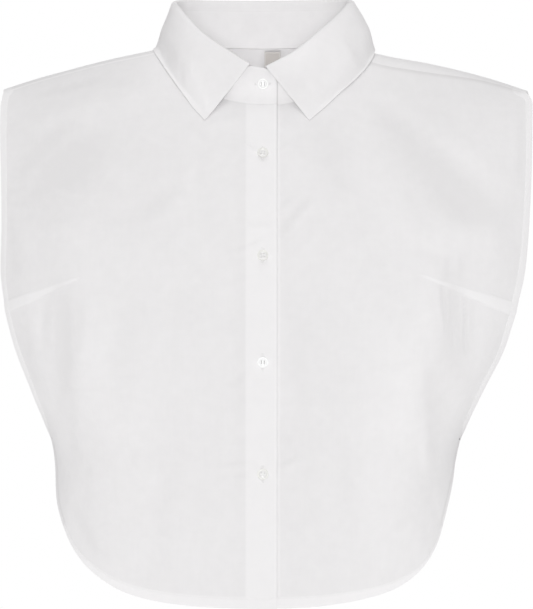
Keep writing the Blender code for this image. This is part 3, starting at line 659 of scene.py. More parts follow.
def bar_tack(skin, name):
    """A few stitches across the hem where the armhole ends."""
    points, normals = points_of(skin), normals_of(skin)
    seen, rim = as_seen(points), as_seen(edge_walk(skin)[0])
    rim = rim[np.abs(rim[:, 0]) > OUTER]
    x = rim[np.argmin(np.abs(rim[:, 1] - TACK_HEIGHT)), 0]
    x -= math.copysign(TACK_INSET, x)
    i = int(np.argmin(np.hypot(seen[:, 0] - x, seen[:, 1] - TACK_HEIGHT)))
    across = np.cross(normals[i], (0, 0, 1))
    spots = [points[i] + np.array([0, 0, rise]) + normals[i] * TACK_LIFT for rise in TACK_ROWS]
    print(f"{name}: seen at {seen[i].round(1)}")
    return sew(name, spots, [across] * len(spots), [normals[i]] * len(spots), TACK_LENGTH, TACK_THICK)


# %% [markdown]
# ## The two fronts
#
# The wearer's right front lies over the left one. Each has a facing folded in along its edge, a bust dart
# that runs in from the armhole, and a narrow hem round the armhole, the side and the curved tail. Each front
# follows its own solid, so the lap and the drape are already in its skin. A dart's seam is a fine line, and
# the intake folded away behind it makes a lighter wedge below the line, where the cloth is double.

# %% Bust darts, as seen from the front in millimetres
INTAKE_LEAST = 1.6  # how wide the folded cloth still is at a dart's tip
INTAKE_FROM, INTAKE_FADE = 0.25, 60  # from which share of a dart its lower edge shows, and how sharply
TIP_FADE = 2  # how fast the seam's line fades past the tip
DART_BLUR, TIP_BLUR = 0.8, 14  # how softly the intake's sides start, in millimetres, and how sharply its tip
GATHER_WIDTH, GATHER_HIDES = 9, 0.6  # gathered cloth hides part of the intake
Dart = namedtuple("Dart", "x_tip z_tip x_seam z_seam x_lower z_lower x_gathered")
DARTS = {
    -1: Dart(-155.8, -196.8, -216.3, -216.9, -212.6, -224.8, -172.0),
    1: Dart(131.8, -194.2, 211.7, -218.3, 207.8, -227.4, 162.0),
}
MILLIMETRE = 0.001


def mark_dart(skin, dart):
    """Marks how far each point is from a dart's seam, and how much it lies over the dart's folded intake."""
    seen = as_seen(points_of(skin))
    tip = np.array([dart.x_tip, dart.z_tip])
    seam = np.array([dart.x_seam, dart.z_seam]) - tip
    lower = np.array([dart.x_lower, dart.z_lower]) - tip
    gone = seen - tip
    run = gone @ seam / (seam @ seam)
    turn = math.copysign(1.0, seam[0])
    off, off_lower = (  # positive below each line
        (gone[:, 0] * line[1] - gone[:, 1] * line[0]) / np.hypot(*line) * turn for line in (seam, lower)
    )
    off_lower = off_lower - INTAKE_LEAST
    past_tip = np.clip(-run, 0, None) * np.hypot(*seam)
    before_intake = np.clip(INTAKE_FROM - run, 0, None)
    mark(skin, "to_dart", (np.abs(off) + past_tip * TIP_FADE) * MILLIMETRE)
    mark(skin, "to_intake", (np.abs(off_lower) + before_intake * INTAKE_FADE) * MILLIMETRE)
    below_seam, above_lower = np.clip(off / DART_BLUR, 0, 1), np.clip(0.5 - off_lower / DART_BLUR, 0, 1)
    gathered = np.exp(-(((seen[:, 0] - dart.x_gathered) / GATHER_WIDTH) ** 2))
    inside = below_seam * above_lower * np.clip(run * TIP_BLUR, 0, 1)
    mark(skin, "over_intake", inside * (1 - GATHER_HIDES * gathered))


# %% Creases of the fronts
RIGHT_CREASES = table(
    (-200, -43, -128, -24, 2, 3.5, -0.35),  # under the shoulder seam
    (-216, -118, -154, -60, -4, 7, -0.45),  # from the armhole up across the shoulder
    (-172, -124, -144, -70, 3, 22, -0.60),
    (-150, -75, -213, -150, 2, 15, -0.25),
    (-206, -50, -96, -22, 1, 12, -0.50),
    (-192, -40, -182, -160, 1, 30, -0.40),
    (-116, -153, -66, -116, 3, 6, -0.30),
    (-220, -126, -200, -121, 1, 2.4, -0.25),  # puckers along the armhole
    (-219, -136, -202, -138, -1, 2.2, -0.22),
    (-219, -147, -206, -151, 1, 2.0, -0.16),
    (-213, -140, -210, -212, 2, 3.2, -0.30),
    (-184, -214, -186, -262, 1, 3.0, -0.35),  # hanging from the dart
    (-176, -214, -175, -282, -1, 2.6, -0.28),
    (-167, -206, -170, -305, 2, 4.0, -0.40),
    (-172, -325, -168, -196, 1, 13, -0.80),
    (-208, -236, -190, -300, 1, 9, -0.45),
    (-147, -205, -145, -350, 0, 13, -0.24),
    (-182, -85, -178, -300, 0, 18, -0.34),
    (-153, -204, -156, -262, 1, 3.4, -0.20),
    (-66, -67, -46, -82, -2, 5, -0.22),
    (-48, -88, -54, -130, 2, 4, -0.22),
    (-173, -274, -167, -392, -3, 6, -0.22),  # the waist
    (-161, -286, -160, -366, 1, 4, -0.28),
    (-162, -388, -133, -440, 3, 5, -0.45),  # dragging into the curve of the tail
    (-150, -352, -146, -404, 1, 4, -0.20),
    (-170, -294, -132, -291, 1, 2.2, -0.14),
    (-40, -358, -4, -357, -1, 2.4, -0.40),  # pulled to the buttons
    (-28, -366, -6, -364, 1, 2.2, -0.30),
    (-32, -176, -4, -169, 1, 2.6, -0.28),
    (-16, -82, -2, -89, 1, 1.6, -0.60),
    (-14, -151, 9, -152, 0, 3.4, -0.50),
    (-15, -171, 2, -165, 0, 1.6, -0.50),
    (-12, -302, 9, -303, 0, 2.6, -0.16),
    (-76, -343, -58, -349, 1, 3, -0.18),
    (-36, -290, -14, -285, 1, 3, -0.18),
    (-56, -64, -12, -57, 1, 4, -0.25),
    (-113, -214, -116, -322, 4, 9, -0.22),
    (-79, -358, -82, -442, 3, 8, -0.20),
    (-19, -90, -20, -450, 1, 5.0, -0.16),  # beside the facing, where the cloth is single
)
LEFT_CREASES = table(
    (96, -38, 216, -131, 0, 9, 0.36),  # from the collar down to the armhole
    (98, -50, 186, -156, 4, 20, -0.66),
    (84, -44, 132, -82, 3, 8, -0.20),
    (152, -104, 204, -136, 2, 8, -0.22),
    (107, -100, 148, -162, 5, 9, -0.20),
    (140, -128, 218, -153, 2, 13, -0.50),
    (101, -190, 103, -440, 2, 26, 0.24),
    (117, -162, 164, -177, 2, 6, 0.12),
    (171, -206, 173, -268, 0, 1.7, -0.85),  # the dart gathers the cloth in upright creases
    (160, -204, 164, -264, 1, 1.8, -1.10),
    (151, -200, 158, -252, 1, 1.9, -0.95),
    (156, -178, 158, -201, 1, 2.6, -0.35),
    (167, -176, 167, -202, -1, 2.4, -0.28),
    (178, -214, 180, -258, 1, 2.6, -0.42),
    (156, -178, 172, -300, 2, 11, -0.80),
    (217, -46, 219, -126, -1, 3.4, -0.30),
    (13, -165, 43, -129, -2, 3.6, -0.60),  # pulled to the buttons
    (13, -143, 28, -126, -1, 2.6, -0.42),
    (9, -90, 22, -82, 1, 2.0, -0.22),
    (11, -173, 22, -167, 0, 2.0, -0.22),
    (11, -359, 30, -350, 1, 2.4, -0.40),
    (73, -222, 79, -198, 1, 3.4, -0.16),
    (46, -62, 74, -132, 3, 16, -0.42),
    (145, -298, 149, -374, 2, 6, -0.40),
    (152, -232, 146, -350, 1, 14, -0.62),  # the waist
    (139, -312, 138, -368, 1, 3.5, 0.25),
    (168, -236, 183, -270, 2, 4.5, -0.22),
    (139, -266, 143, -314, 1, 4.5, -0.30),
    (107, -410, 130, -400, 2, 4, -0.28),
    (31, -210, 36, -335, 4, 9, -0.16),
    (65, -330, 70, -428, -4, 9, -0.18),
)
print("creases:", len(RIGHT_CREASES), "in the right front,", len(LEFT_CREASES), "in the left")

# %% Make the fronts
# painted light and shade on the fronts, which don't move the cloth
RIGHT_PAINTED_LIGHT = table(
    (-95, -170, -140, -50, 0, 38, -0.24),  # painted shade in the broad hollow below the shoulder
    (-186, -326, -172, -432, 1, 16, 0.95),  # painted light at the open side
)
LEFT_PAINTED_LIGHT = table(
    # painted light at the open side
    (164, -352, 152, -432, 0, 12, 0.55),
)
LAP_HEIGHTS, LAP_SHADOWS = (-0.33, -0.22, -0.12, -0.07), (0.0, 0.4, 0.4, 2.2)  # beside the edge on top
SHOULDER_SHADOWS = {-1: 0.25, 1: 1.1}  # how dark the shoulder seam's shadow is, by side


def make_front(node, side, creases, painted_light):
    """One front, with marks, stitches, tack and wall. Side is -1 on the wearer's right and 1 on the left."""
    skin = skins[node]
    to_hem = mark_seams(skin, edge_walk(skin)[0], side)
    lay(skin, creases, painted_light)
    mark_dart(skin, DARTS[side])
    points = points_of(skin)
    to_band = side * points[:, 0] - BAND_FOLD
    mark(skin, "to_band", to_band)
    mark(skin, "upper", np.full(len(points), float(side < 0)))
    mark(skin, "lap_shadow", np.interp(points[:, 2], LAP_HEIGHTS, LAP_SHADOWS) * (side > 0))
    mark(skin, "shoulder_shadow", np.full(len(points), SHOULDER_SHADOWS[side]))
    stitches = hem_stitches(skin, side, skin.name + "_hem_stitches")
    tack = bar_tack(skin, skin.name + "_tack")
    thicken(skin, WALL, (to_hem < 1) | (to_band < 0), WALL_DOUBLED)
    declare(skin, node)
    return skin, stitches, tack


right_front, right_stitches, right_tack = make_front("front_right", -1, RIGHT_CREASES, RIGHT_PAINTED_LIGHT)
left_front, left_stitches, left_tack = make_front("front_left", 1, LEFT_CREASES, LEFT_PAINTED_LIGHT)

# %% [markdown]
# ## The back
#
# The back is one plain piece that comes a little forward over the shoulders. It is cut straight, so it has no
# darts, and it hangs in a few long soft folds.

# %% Make the back
BACK_CREASES = table(
    (-72, -150, -97, -400, 4, 11, -0.9),
    (-20, -210, -26, -430, 3, 9, -0.5),
    (58, -160, 88, -410, -5, 12, -0.9),
    (120, -120, 152, -240, -3, 9, -0.6),
    (-130, -100, -158, -230, 4, 8, -0.6),
    (-140, -40, -70, -62, 6, 9, 0.5),
    (60, -60, 140, -44, 6, 10, 0.5),
    (-40, -40, 44, -44, 5, 7, -0.4),
)
# painted light on the back's strips that come forward over the shoulders
BACK_PAINTED_LIGHT = table(
    (75, -8, 215, -42, 0, 12, 0.9),
    (-75, -8, -200, -40, 0, 10, 0.4),
)


def make_back():
    """The back with its marks, stitches and wall. It has no band and no dart."""
    skin = skins["back"]
    to_hem = mark_seams(skin, edge_walk(skin)[0], 0)
    lay(skin, BACK_CREASES, BACK_PAINTED_LIGHT)
    for name in ("to_band", "to_dart", "to_intake"):
        mark(skin, name, np.ones(len(to_hem)))
    for name in ("over_intake", "upper", "lap_shadow", "shoulder_shadow"):
        mark(skin, name, np.zeros(len(to_hem)))
    stitches = hem_stitches(skin, 0, "poplin_back_hem_stitches")
    thicken(skin, WALL, to_hem < 1, WALL_DOUBLED)
    declare(skin, "back")
    return skin, stitches


back, back_stitches = make_back()

# %% [markdown]
# ## The collar
#
# A shirt collar is two pieces. The stand is a band round the neck, buttoned at the front. The leaf is sewn to
# its upper edge, rolls over and falls to two points. Both are two layers of poplin with a stiff interlining
# between them, so they are crisper than the body. The stand is as thick as its three layers, and the leaf is
# pressed thin.
#
# The solid of the leaf keeps well clear of the solids under it. A worn collar doesn't: its free edge lies
# down on the shirt, as the iron left it. So the leaf is lowered near its edge until its inner side is just
# clear of what is under it, and less and less towards the roll.

# %% Press the leaf down on the shirt
PRESSED = 0.020  # how far in from its edge the leaf is pressed down
PRESSED_MOST, LEAF_CLEAR = 0.0030, 0.0002  # how far it may move, and what stays free under it
SEWN_WITHIN = 0.004  # an edge this near to the stand is the sewn one


def room_over(cloths, points):
    """How far each point is from the nearest of some cloths."""
    rooms = []
    for cloth in cloths:
        rooms.append([(Vector(p) - cloth.closest_point_on_mesh(p)[1]).length for p in points])
    return np.min(rooms, 0)


def press_down(skin, wall, under):
    """Lowers the free edge of a skin until its inner side lies just clear of the cloths under it."""
    points, normals = points_of(skin), normals_of(skin)
    edge = edge_walk(skin)[0]
    free = edge[room_over([stand], edge) > SEWN_WITHIN]
    share = np.clip(1 - nearest(points, filled(free)) / PRESSED, 0, 1)
    share = share * share * (3 - 2 * share)
    drop = np.clip(room_over(under, points) - wall - LEAF_CLEAR, 0, PRESSED_MOST) * share
    move_points(skin, points - normals * drop[:, None])
    print(f"{skin.name}: pressed down by up to {drop.max() * 1000:.1f} mm")


# %% Make the stand and the leaf
LEAF_CREASES = table(
    (-68, -12, -71, -38, 1, 2.6, -0.30),
    (-61, -10, -62, -30, -1, 2.4, 0.18),
    (-50, -22, -40, -52, 2, 4.0, -0.20),
    (70, 8, 91, -21, 2, 3.2, -0.30),
    (78, 2, 96, -17, -1, 2.6, 0.20),
    (44, -24, 58, -42, 2, 5.0, -0.20),
    (84, 24, 92, -22, 2, 11, -0.50),
    (-78, 20, -80, -26, 1, 8, -0.35),
)
# painted light across the front of the stand
STAND_PAINTED_LIGHT = table(
    (-34, -38, 34, -38, 0, 12, 0.68),
)
# painted light in patches on the leaf
LEAF_PAINTED_LIGHT = table(
    (12, -24, 48, 6, 0, 12, 0.55),
    (-78, -14, -46, -58, 0, 11, 0.85),
    (44, -52, 84, -8, 0, 12, 0.45),
    (84, 20, 94, -16, 0, 9, 0.6),
)
COLLAR_ROUNDING = 0.00022
LAP_FRONT = -0.03  # the two ends of the stand lap in front of this


def make_collar_piece(node, wall, creases, painted_light, under=()):
    """The stand or the leaf, with its creases, its marks and its wall, pressed down on what is under it."""
    skin = skins[node]
    lay(skin, creases, painted_light)
    if under:
        press_down(skin, wall, under)
    points = points_of(skin)
    in_front = (points[:, 1] < LAP_FRONT) & (node == "collar_stand")
    mark(skin, "to_lap", np.where(in_front, points[:, 0] - BAND_EDGE, 1.0))
    mark(skin, "to_edge", nearest(points, filled(edge_walk(skin)[0], closed=True)))
    thicken(skin, wall)
    round_edges(skin, COLLAR_ROUNDING, 2, 60)
    declare(skin, node)
    return skin


stand = make_collar_piece("collar_stand", STAND_WALL, (), STAND_PAINTED_LIGHT)
body = (right_front, left_front, back, stand)
leaf = make_collar_piece("collar_leaf", LEAF_WALL, LEAF_CREASES, LEAF_PAINTED_LIGHT, under=body)

# %% [markdown]
# ## The label
#
# Inside the back neck hangs a small woven tab. It is bare here. Its skin is taken from the solid too, and its
# selvedges are marked so that the finish can weave them a shade lighter.

# %% Make the label
LABEL_WALL, LABEL_STEP = 0.0005, 0.0003


def make_label():
    """The label, from its solid's skin."""
    skin = outer_skin("neck_label", "woven_neck_label")
    cut = flatten(skin)
    smooth_skin(skin, 3)
    mark(skin, "to_edge", nearest(points_of(skin), filled(edge_walk(skin)[0], LABEL_STEP, closed=True)))
    thicken(skin, LABEL_WALL)
    declare(skin, "neck_label")
    return skin


label = make_label()

# %% [markdown]
# ## Buttons
#
# Each button is turned: a flat disc with a raised rim, a dished middle and four holes. One is made from a
# cylinder by insets and a bevel, its holes are bored with a Boolean, and it is copied to each of the five
# places.

# %% Turn one button and bore its holes
BUTTON_RADIUS, BUTTON_THICK, SOLID_THICK = 0.0045, 0.0017, 0.0022
RIM_WIDTH, DISH_SLOPE, DISH_DEPTH = 0.00115, 0.00055, 0.00050
FLOOR_RING, FLOOR_DEPTH = 0.0007, 0.00012
BACK_RING, BACK_SWELL = 0.0009, 0.0001
EDGE_ROUNDING, HOLE_ROUNDING = 0.00042, 0.00008
HOLE_RADIUS, HOLE_OUT = 0.00052, 0.00112  # a hole's size, and how far it is from the middle, across and up
ROD_LENGTH = 0.01


def pick_faces(piece, test):
    """In edit mode, selects the faces that pass a test and nothing else."""
    bpy.ops.mesh.select_mode(type="FACE")
    bpy.ops.mesh.select_all(action="DESELECT")
    bpy.ops.object.mode_set(mode="OBJECT")
    for face in piece.data.polygons:
        face.select = bool(test(face))
    bpy.ops.object.mode_set(mode="EDIT")


def joined(pieces):
    """Several pieces made one."""
    only(pieces[-1])
    for piece in pieces:
        piece.select_set(True)
    bpy.ops.object.join()
    return bpy.context.active_object


def drill():
    """Four rods where a button's holes go."""
    rods = []
    for x in (-HOLE_OUT, HOLE_OUT):
        for y in (-HOLE_OUT, HOLE_OUT):
            bpy.ops.mesh.primitive_cylinder_add(
                vertices=20, radius=HOLE_RADIUS, depth=ROD_LENGTH, location=(x, y, 0)
            )
            rods.append(bpy.context.active_object)
    return joined(rods)


def turned_button():
    """A button lying on the ground plane, face up."""
    bpy.ops.object.select_all(action="DESELECT")
    bpy.ops.mesh.primitive_cylinder_add(
        vertices=56, radius=BUTTON_RADIUS, depth=BUTTON_THICK, location=(0, 0, BUTTON_THICK / 2)
    )
    button = bpy.context.active_object
    bpy.ops.object.transform_apply(location=True)
    bpy.ops.object.mode_set(mode="EDIT")
    pick_faces(button, lambda face: face.normal.z > 0.9)
    bpy.ops.mesh.inset(thickness=RIM_WIDTH)
    bpy.ops.mesh.inset(thickness=DISH_SLOPE)
    bpy.ops.transform.translate(value=(0, 0, -DISH_DEPTH))
    bpy.ops.mesh.inset(thickness=FLOOR_RING)
    bpy.ops.transform.translate(value=(0, 0, -FLOOR_DEPTH))
    pick_faces(button, lambda face: face.normal.z < -0.9)
    bpy.ops.mesh.inset(thickness=BACK_RING)
    bpy.ops.transform.translate(value=(0, 0, -BACK_SWELL))
    bpy.ops.object.mode_set(mode="OBJECT")
    round_edges(button, EDGE_ROUNDING, 4, 28)
    rods = drill()
    apply(button, "BOOLEAN", object=rods, operation="DIFFERENCE", solver="EXACT")
    bpy.data.objects.remove(rods)
    round_edges(button, HOLE_ROUNDING, 2, 50)
    button.data.shade_smooth()
    only(button)
    bpy.ops.object.shade_smooth_by_angle(angle=math.radians(40))
    return button


pattern_button = turned_button()
print("button:", len(pattern_button.data.polygons), "faces")

# %% Loop two bars of thread through one button
STRAND_RADIUS, STRANDS_APART = 0.00019, 0.00028
STRAND_FLAT, STRAND_SUNK = 0.525, 0.00060  # how low its arch is, and how far below the rim it springs
STRAND_END = -0.0009  # a ring of thread is cut off here, so that its ends stand in the holes


def button_thread():
    """Two upright bars of thread, each of two strands, from the lower holes to the upper ones."""
    strands = []
    for x in (-HOLE_OUT, HOLE_OUT):
        for step in (-STRANDS_APART / 2, STRANDS_APART / 2):
            bpy.ops.object.select_all(action="DESELECT")
            bpy.ops.mesh.primitive_torus_add(
                major_segments=24, minor_segments=8, major_radius=HOLE_OUT, minor_radius=STRAND_RADIUS,
                location=(0, 0, 0), rotation=(0, math.radians(90), 0),
            )
            strands.append(bpy.context.active_object)
            bpy.ops.object.transform_apply(rotation=True)
            bpy.ops.object.mode_set(mode="EDIT")
            bpy.ops.mesh.select_all(action="SELECT")
            bpy.ops.mesh.bisect(
                plane_co=(0, 0, STRAND_END), plane_no=(0, 0, 1), clear_inner=True, use_fill=True
            )
            bpy.ops.mesh.select_all(action="SELECT")
            bpy.ops.transform.resize(value=(1, 1, STRAND_FLAT), center_override=(0, 0, 0))
            bpy.ops.transform.translate(value=(x + step, 0, BUTTON_THICK - STRAND_SUNK))
            bpy.ops.object.mode_set(mode="OBJECT")
    thread = joined(strands)
    thread.data.shade_smooth()
    return thread


pattern_thread = button_thread()
print("thread of a button:", len(pattern_thread.data.polygons), "faces")

# %% Find where a button's solid sits
NEARER = 0.0002  # a button lies this much nearer to the cloth than its solid


def facing_of(node):
    """Where a button's solid sits, as a matrix: its back on the ground plane, its face up."""
    points = points_of(frame["nodes"][node])
    points = np.unique(np.round(points, 6), axis=0)
    low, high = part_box(node)
    centre = (np.array(low) + np.array(high)) / 2
    normal = np.linalg.svd(points - points.mean(0), full_matrices=False)[2][2]
    normal = Vector(normal * -np.sign(normal[1]))
    up = (Vector((0, 0, 1)) - normal * normal.z).normalized()
    turned = Matrix((up.cross(normal), up, normal)).transposed().to_4x4()
    return Matrix.Translation(Vector(centre) - normal * (SOLID_THICK / 2 + NEARER)) @ turned


def copied(pattern, name, place):
    """A copy of a piece with its own mesh, its place in its points."""
    only(pattern)
    bpy.ops.object.duplicate()
    piece = bpy.context.active_object
    piece.name = piece.data.name = name
    piece.data.transform(place)
    return piece


# %% Set the buttons and their thread
BUTTON_TURNS = (4, -9, 7, 0, -6)  # degrees: no two are sewn on alike
BRIGHT = {1: 0.75, 4: 1.0}  # these two are painted bright where they catch the light, and their grey thread is partly painted shade; the others are duller
RIM_FROM, RIM_OVER = 0.0026, 0.0008  # how far out the rim's tone starts, and over how far it comes in

buttons, threads = [], []
for i, turn in enumerate(BUTTON_TURNS, 1):
    place = facing_of(f"button_{i}") @ Matrix.Rotation(math.radians(turn), 4, "Z")
    button = copied(pattern_button, f"shirt_button_{i}", place)
    out = np.linalg.norm((points_of(button) - np.array(place.translation))[:, [0, 2]], axis=1)
    mark(button, "rim", np.clip((out - RIM_FROM) / RIM_OVER, 0, 1))
    mark(button, "bright", np.full(len(out), BRIGHT.get(i, 0.0)))
    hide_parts(f"button_{i}")
    thread = copied(pattern_thread, f"button_thread_{i}", place)
    for piece in (button, thread):
        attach(piece, "root")
    buttons.append(button)
    threads.append(thread)
for pattern in (pattern_button, pattern_thread):
    bpy.data.objects.remove(pattern)
print("buttons:", len(buttons))

# %% [markdown]
# ## Buttonholes
#
# Behind each button is a worked buttonhole: a slit closed in by a dense row of stitches on either side and
# a bar at each end. On the button band they stand upright, and on the stand the buttonhole lies along it,
# so only its ends peep out past the button.

# %% Work the buttonholes
HOLE_LENGTH, HOLE_LEG = 0.0125, 0.0011
LEG_OUT, LEG_LEAN, LEG_PITCH = 0.62, 0.12, 0.00042  # the rows on both sides of the slit
BAR_OUT, BAR_PITCH = 0.0003, 0.0004  # the bars at its ends
HOLE_THICK, HOLE_LIFT = 0.00036, 0.00006


def buttonhole(name, cloth, node, upright):
    """A worked buttonhole on a cloth, behind a button."""
    place = facing_of(node)
    along, across = Vector((0, 1, 0)), Vector((1, 0, 0))
    if not upright:
        along, across = across, along
    spots, ways = [], []
    for leg in (-1, 1):
        for run in np.arange(-HOLE_LENGTH / 2, HOLE_LENGTH / 2, LEG_PITCH):
            spots.append(place @ (along * run + across * leg * HOLE_LEG * LEG_OUT))
            ways.append(place.to_3x3() @ (across + along * LEG_LEAN * leg))
    for end in (-1, 1):
        for run in np.arange(-HOLE_LEG, HOLE_LEG + 1e-6, BAR_PITCH):
            spots.append(place @ (along * end * (HOLE_LENGTH / 2 + BAR_OUT) + across * run))
            ways.append(place.to_3x3() @ along)
    placed, normals = set_on(cloth, spots, HOLE_LIFT)
    return sew(name, placed, np.array(ways), normals, HOLE_LEG, HOLE_THICK)


holes = []
for i in range(1, len(BUTTON_TURNS) + 1):
    cloth = stand if i == 1 else right_front
    holes.append(buttonhole(f"buttonhole_{i}", cloth, f"button_{i}", upright=i > 1))

# %% [markdown]
# ## Finishes
#
# Poplin is a plain weave, with nearly forty fine threads to the centimetre one way and fewer, heavier ones
# the other way, so it reads as a smooth matt white with a trace of rib. The weave, the slow drift of tone
# with the painted shade of the creases, and the sewn lines are used by more than one finish, so each is a
# node group.

# %% Helpers to build node trees
def group(name, inputs, outputs):
    """A new node group, with its named inputs and outputs."""
    tree = bpy.data.node_groups.new(name, "ShaderNodeTree")
    for label, kind, value in inputs:
        socket = tree.interface.new_socket(label, in_out="INPUT", socket_type="NodeSocket" + kind)
        if value is not None:
            socket.default_value = value
    for label, kind in outputs:
        tree.interface.new_socket(label, in_out="OUTPUT", socket_type="NodeSocket" + kind)
    return tree, tree.nodes.new("NodeGroupInput").outputs, tree.nodes.new("NodeGroupOutput").inputs


def plug(tree, value, socket):
    """Sets a socket to a number or a colour, or links it to another node's output."""
    if isinstance(value, (int, float, tuple)):
        socket.default_value = value
    else:
        tree.links.new(value, socket)


def maths(tree, operation, *values, clamp=False):
    """A Math node over some values."""
    node = tree.nodes.new("ShaderNodeMath")
    node.operation, node.use_clamp = operation, clamp
    for value, socket in zip(values, node.inputs):
        plug(tree, value, socket)
    return node.outputs[0]


def times(tree, first, second):
    """A product of two values."""
    return maths(tree, "MULTIPLY", first, second)


def mixed(tree, share, first, second):
    """A share of the second colour over the first."""
    node = tree.nodes.new("ShaderNodeMix")
    node.data_type = "RGBA"
    for value, index in ((share, 0), (first, 6), (second, 7)):
        plug(tree, value, node.inputs[index])
    return node.outputs[2]


def noise(tree, vector, scale, detail=2.0, rough=0.5):
    """Soft noise from 0 to 1."""
    node = tree.nodes.new("ShaderNodeTexNoise")
    for name, value in (("Vector", vector), ("Scale", scale), ("Detail", detail), ("Roughness", rough)):
        plug(tree, value, node.inputs[name])
    return node.outputs["Fac"]


def used(tree, made, **values):
    """Places a node group in a tree and fills its inputs."""
    node = tree.nodes.new("ShaderNodeGroup")
    node.node_tree = made
    for key, value in values.items():
        plug(tree, value, node.inputs[key])
    return node.outputs


# %% The weave, as a node group
def weave_group():
    """Threads over and under. Ends and Picks are threads in a metre, and Tone is the height as a share."""
    tree, entry, leave = group(
        "plain_weave",
        [("Cut", "Vector", None), ("Ends", "Float", 3800.0), ("Picks", "Float", 2600.0)],
        [("Height", "Float"), ("Tone", "Float")],
    )
    parts = tree.nodes.new("ShaderNodeSeparateXYZ")
    tree.links.new(entry["Cut"], parts.inputs[0])
    warp, weft = (
        maths(tree, "SINE", times(tree, times(tree, parts.outputs[i], entry[name]), math.pi))
        for i, name in enumerate(("Ends", "Picks"))
    )
    rib = times(tree, maths(tree, "ABSOLUTE", weft), 0.5)
    height = maths(tree, "MULTIPLY_ADD", times(tree, warp, weft), 0.35, rib)
    tree.links.new(height, leave["Height"])
    tree.links.new(maths(tree, "MULTIPLY_ADD", height, 0.5, 0.5, clamp=True), leave["Tone"])
    return tree


WEAVE = weave_group()

# %% Lines and steps at a distance from an edge, as a node group
def edge_group():
    """Line is 1 on a line at a distance from an edge. Within is 1 between the edge and that line."""
    tree, entry, leave = group(
        "sewn_edge",
        [("Distance", "Float", 1.0), ("At", "Float", 0.005), ("Width", "Float", 0.0006)],
        [("Line", "Float"), ("Within", "Float")],
    )
    gone = maths(tree, "SUBTRACT", entry["Distance"], entry["At"])
    gone = maths(tree, "DIVIDE", gone, entry["Width"])
    line = maths(tree, "POWER", math.e, times(tree, times(tree, gone, gone), -1.0))
    tree.links.new(line, leave["Line"])
    tree.links.new(maths(tree, "MULTIPLY_ADD", gone, -0.5, 0.5, clamp=True), leave["Within"])
    return tree


EDGE = edge_group()

# %% Uneven cloth with painted crease shade, as a node group
FOLD_PAINTED_SHADE = -0.55  # painted shade that one millimetre of trough adds, as a share of the shade; a rise is painted lighter
DRIFTS = (  # what a drift follows, how fine it is, its detail, and its share
    ("Place", (9, 9, 9), 2.0, 0.26),
    ("Place", (45, 45, 45), 3.0, 0.34),
    ("Place", (120, 120, 120), 3.0, 0.45),
    ("Cut", (400, 30, 1), 1.0, 0.12),  # streaks up the cloth
    ("Cut", (40, 380, 1), 1.0, 0.06),  # and across it
)
CRUMPLE = 38.0


def drift_and_shade_group():
    """Colour drifts in clouds and in streaks along the threads, with painted shade from the creases. Height
    is a crumple.
    """
    tree, entry, leave = group(
        "cloth_drift_and_shade",
        [
            ("Place", "Vector", None), ("Cut", "Vector", None), ("Fold", "Float", 0.0),
            ("Colour", "Color", (0.8, 0.8, 0.8, 1)), ("Shade", "Color", (0.75, 0.75, 0.75, 1)),
        ],
        [("Colour", "Color"), ("Height", "Float")],
    )
    share = maths(tree, "MULTIPLY_ADD", entry["Fold"], FOLD_PAINTED_SHADE, 0.5)
    for follows, stretch, detail, weight in DRIFTS:
        mapping = tree.nodes.new("ShaderNodeMapping")
        mapping.inputs["Scale"].default_value = stretch
        tree.links.new(entry[follows], mapping.inputs["Vector"])
        cloud = maths(tree, "SUBTRACT", noise(tree, mapping.outputs[0], 1.0, detail), 0.5)
        share = maths(tree, "MULTIPLY_ADD", cloud, weight, share)
    share = maths(tree, "MAXIMUM", maths(tree, "MINIMUM", share, 1.0), 0.0)
    tree.links.new(mixed(tree, share, entry["Colour"], entry["Shade"]), leave["Colour"])
    tree.links.new(noise(tree, entry["Place"], CRUMPLE, 3.0, 0.55), leave["Height"])
    return tree


DRIFT_AND_SHADE = drift_and_shade_group()
for made in (WEAVE, EDGE, DRIFT_AND_SHADE):
    print(f"{made.name}: {len(made.nodes)} nodes")

# %% [markdown]
# ### Poplin of the body
#
# One thin layer of white cotton lets a little grey through, and doubled cloth doesn't, so hems, facings and
# dart intakes are drawn a shade lighter and stand up by half a thread. The lines of stitching pull in. The
# rolled edge of the band on top and the upper front's shoulder seam get a painted highlight. Beside the band
# on top, under the stand and the shoulder seams, where one piece lies over another, and along the join at the
# side, soft grey lines of painted shadow stand for the shadow that is too thin for the lamps.

# %% Helpers to start and to end a finish
def start_material(name, **inputs):
    """A new material, its nodes, and its shader with some inputs set."""
    material = bpy.data.materials.new(name)
    material.use_nodes = True
    shader = material.node_tree.nodes["Principled BSDF"]
    for key, value in inputs.items():
        shader.inputs[key.replace("_", " ")].default_value = value
    print("finish:", name)
    return material, material.node_tree, shader


def read(tree, name):
    """A number that a piece's points were marked with."""
    node = tree.nodes.new("ShaderNodeAttribute")
    node.attribute_name = name
    return node.outputs["Fac"]


def object_place(tree):
    """Places on the object, in metres."""
    return tree.nodes.new("ShaderNodeTexCoord").outputs["Object"]


def coordinates(tree):
    """The cut in metres, and places on the object."""
    cut = tree.nodes.new("ShaderNodeUVMap")
    cut.uv_map = "cut"
    return cut.outputs["UV"], object_place(tree)


def strongest(tree, pairs):
    """The greatest of some masks, each with its share."""
    result = None
    for mask, share in pairs:
        value = times(tree, mask, share)
        result = value if result is None else maths(tree, "MAXIMUM", result, value)
    return result


def added(tree, pairs):
    """The sum of some masks, each with its share."""
    result = 0.0
    for mask, share in pairs:
        result = maths(tree, "MULTIPLY_ADD", mask, share, result)
    return result


def woven_over(tree, shader, base, tone, share, hollow):
    """Tints a colour in the hollows of the weave and gives it to the shader."""
    tree.links.new(mixed(tree, times(tree, tone, share), base, hollow), shader.inputs["Base Color"])


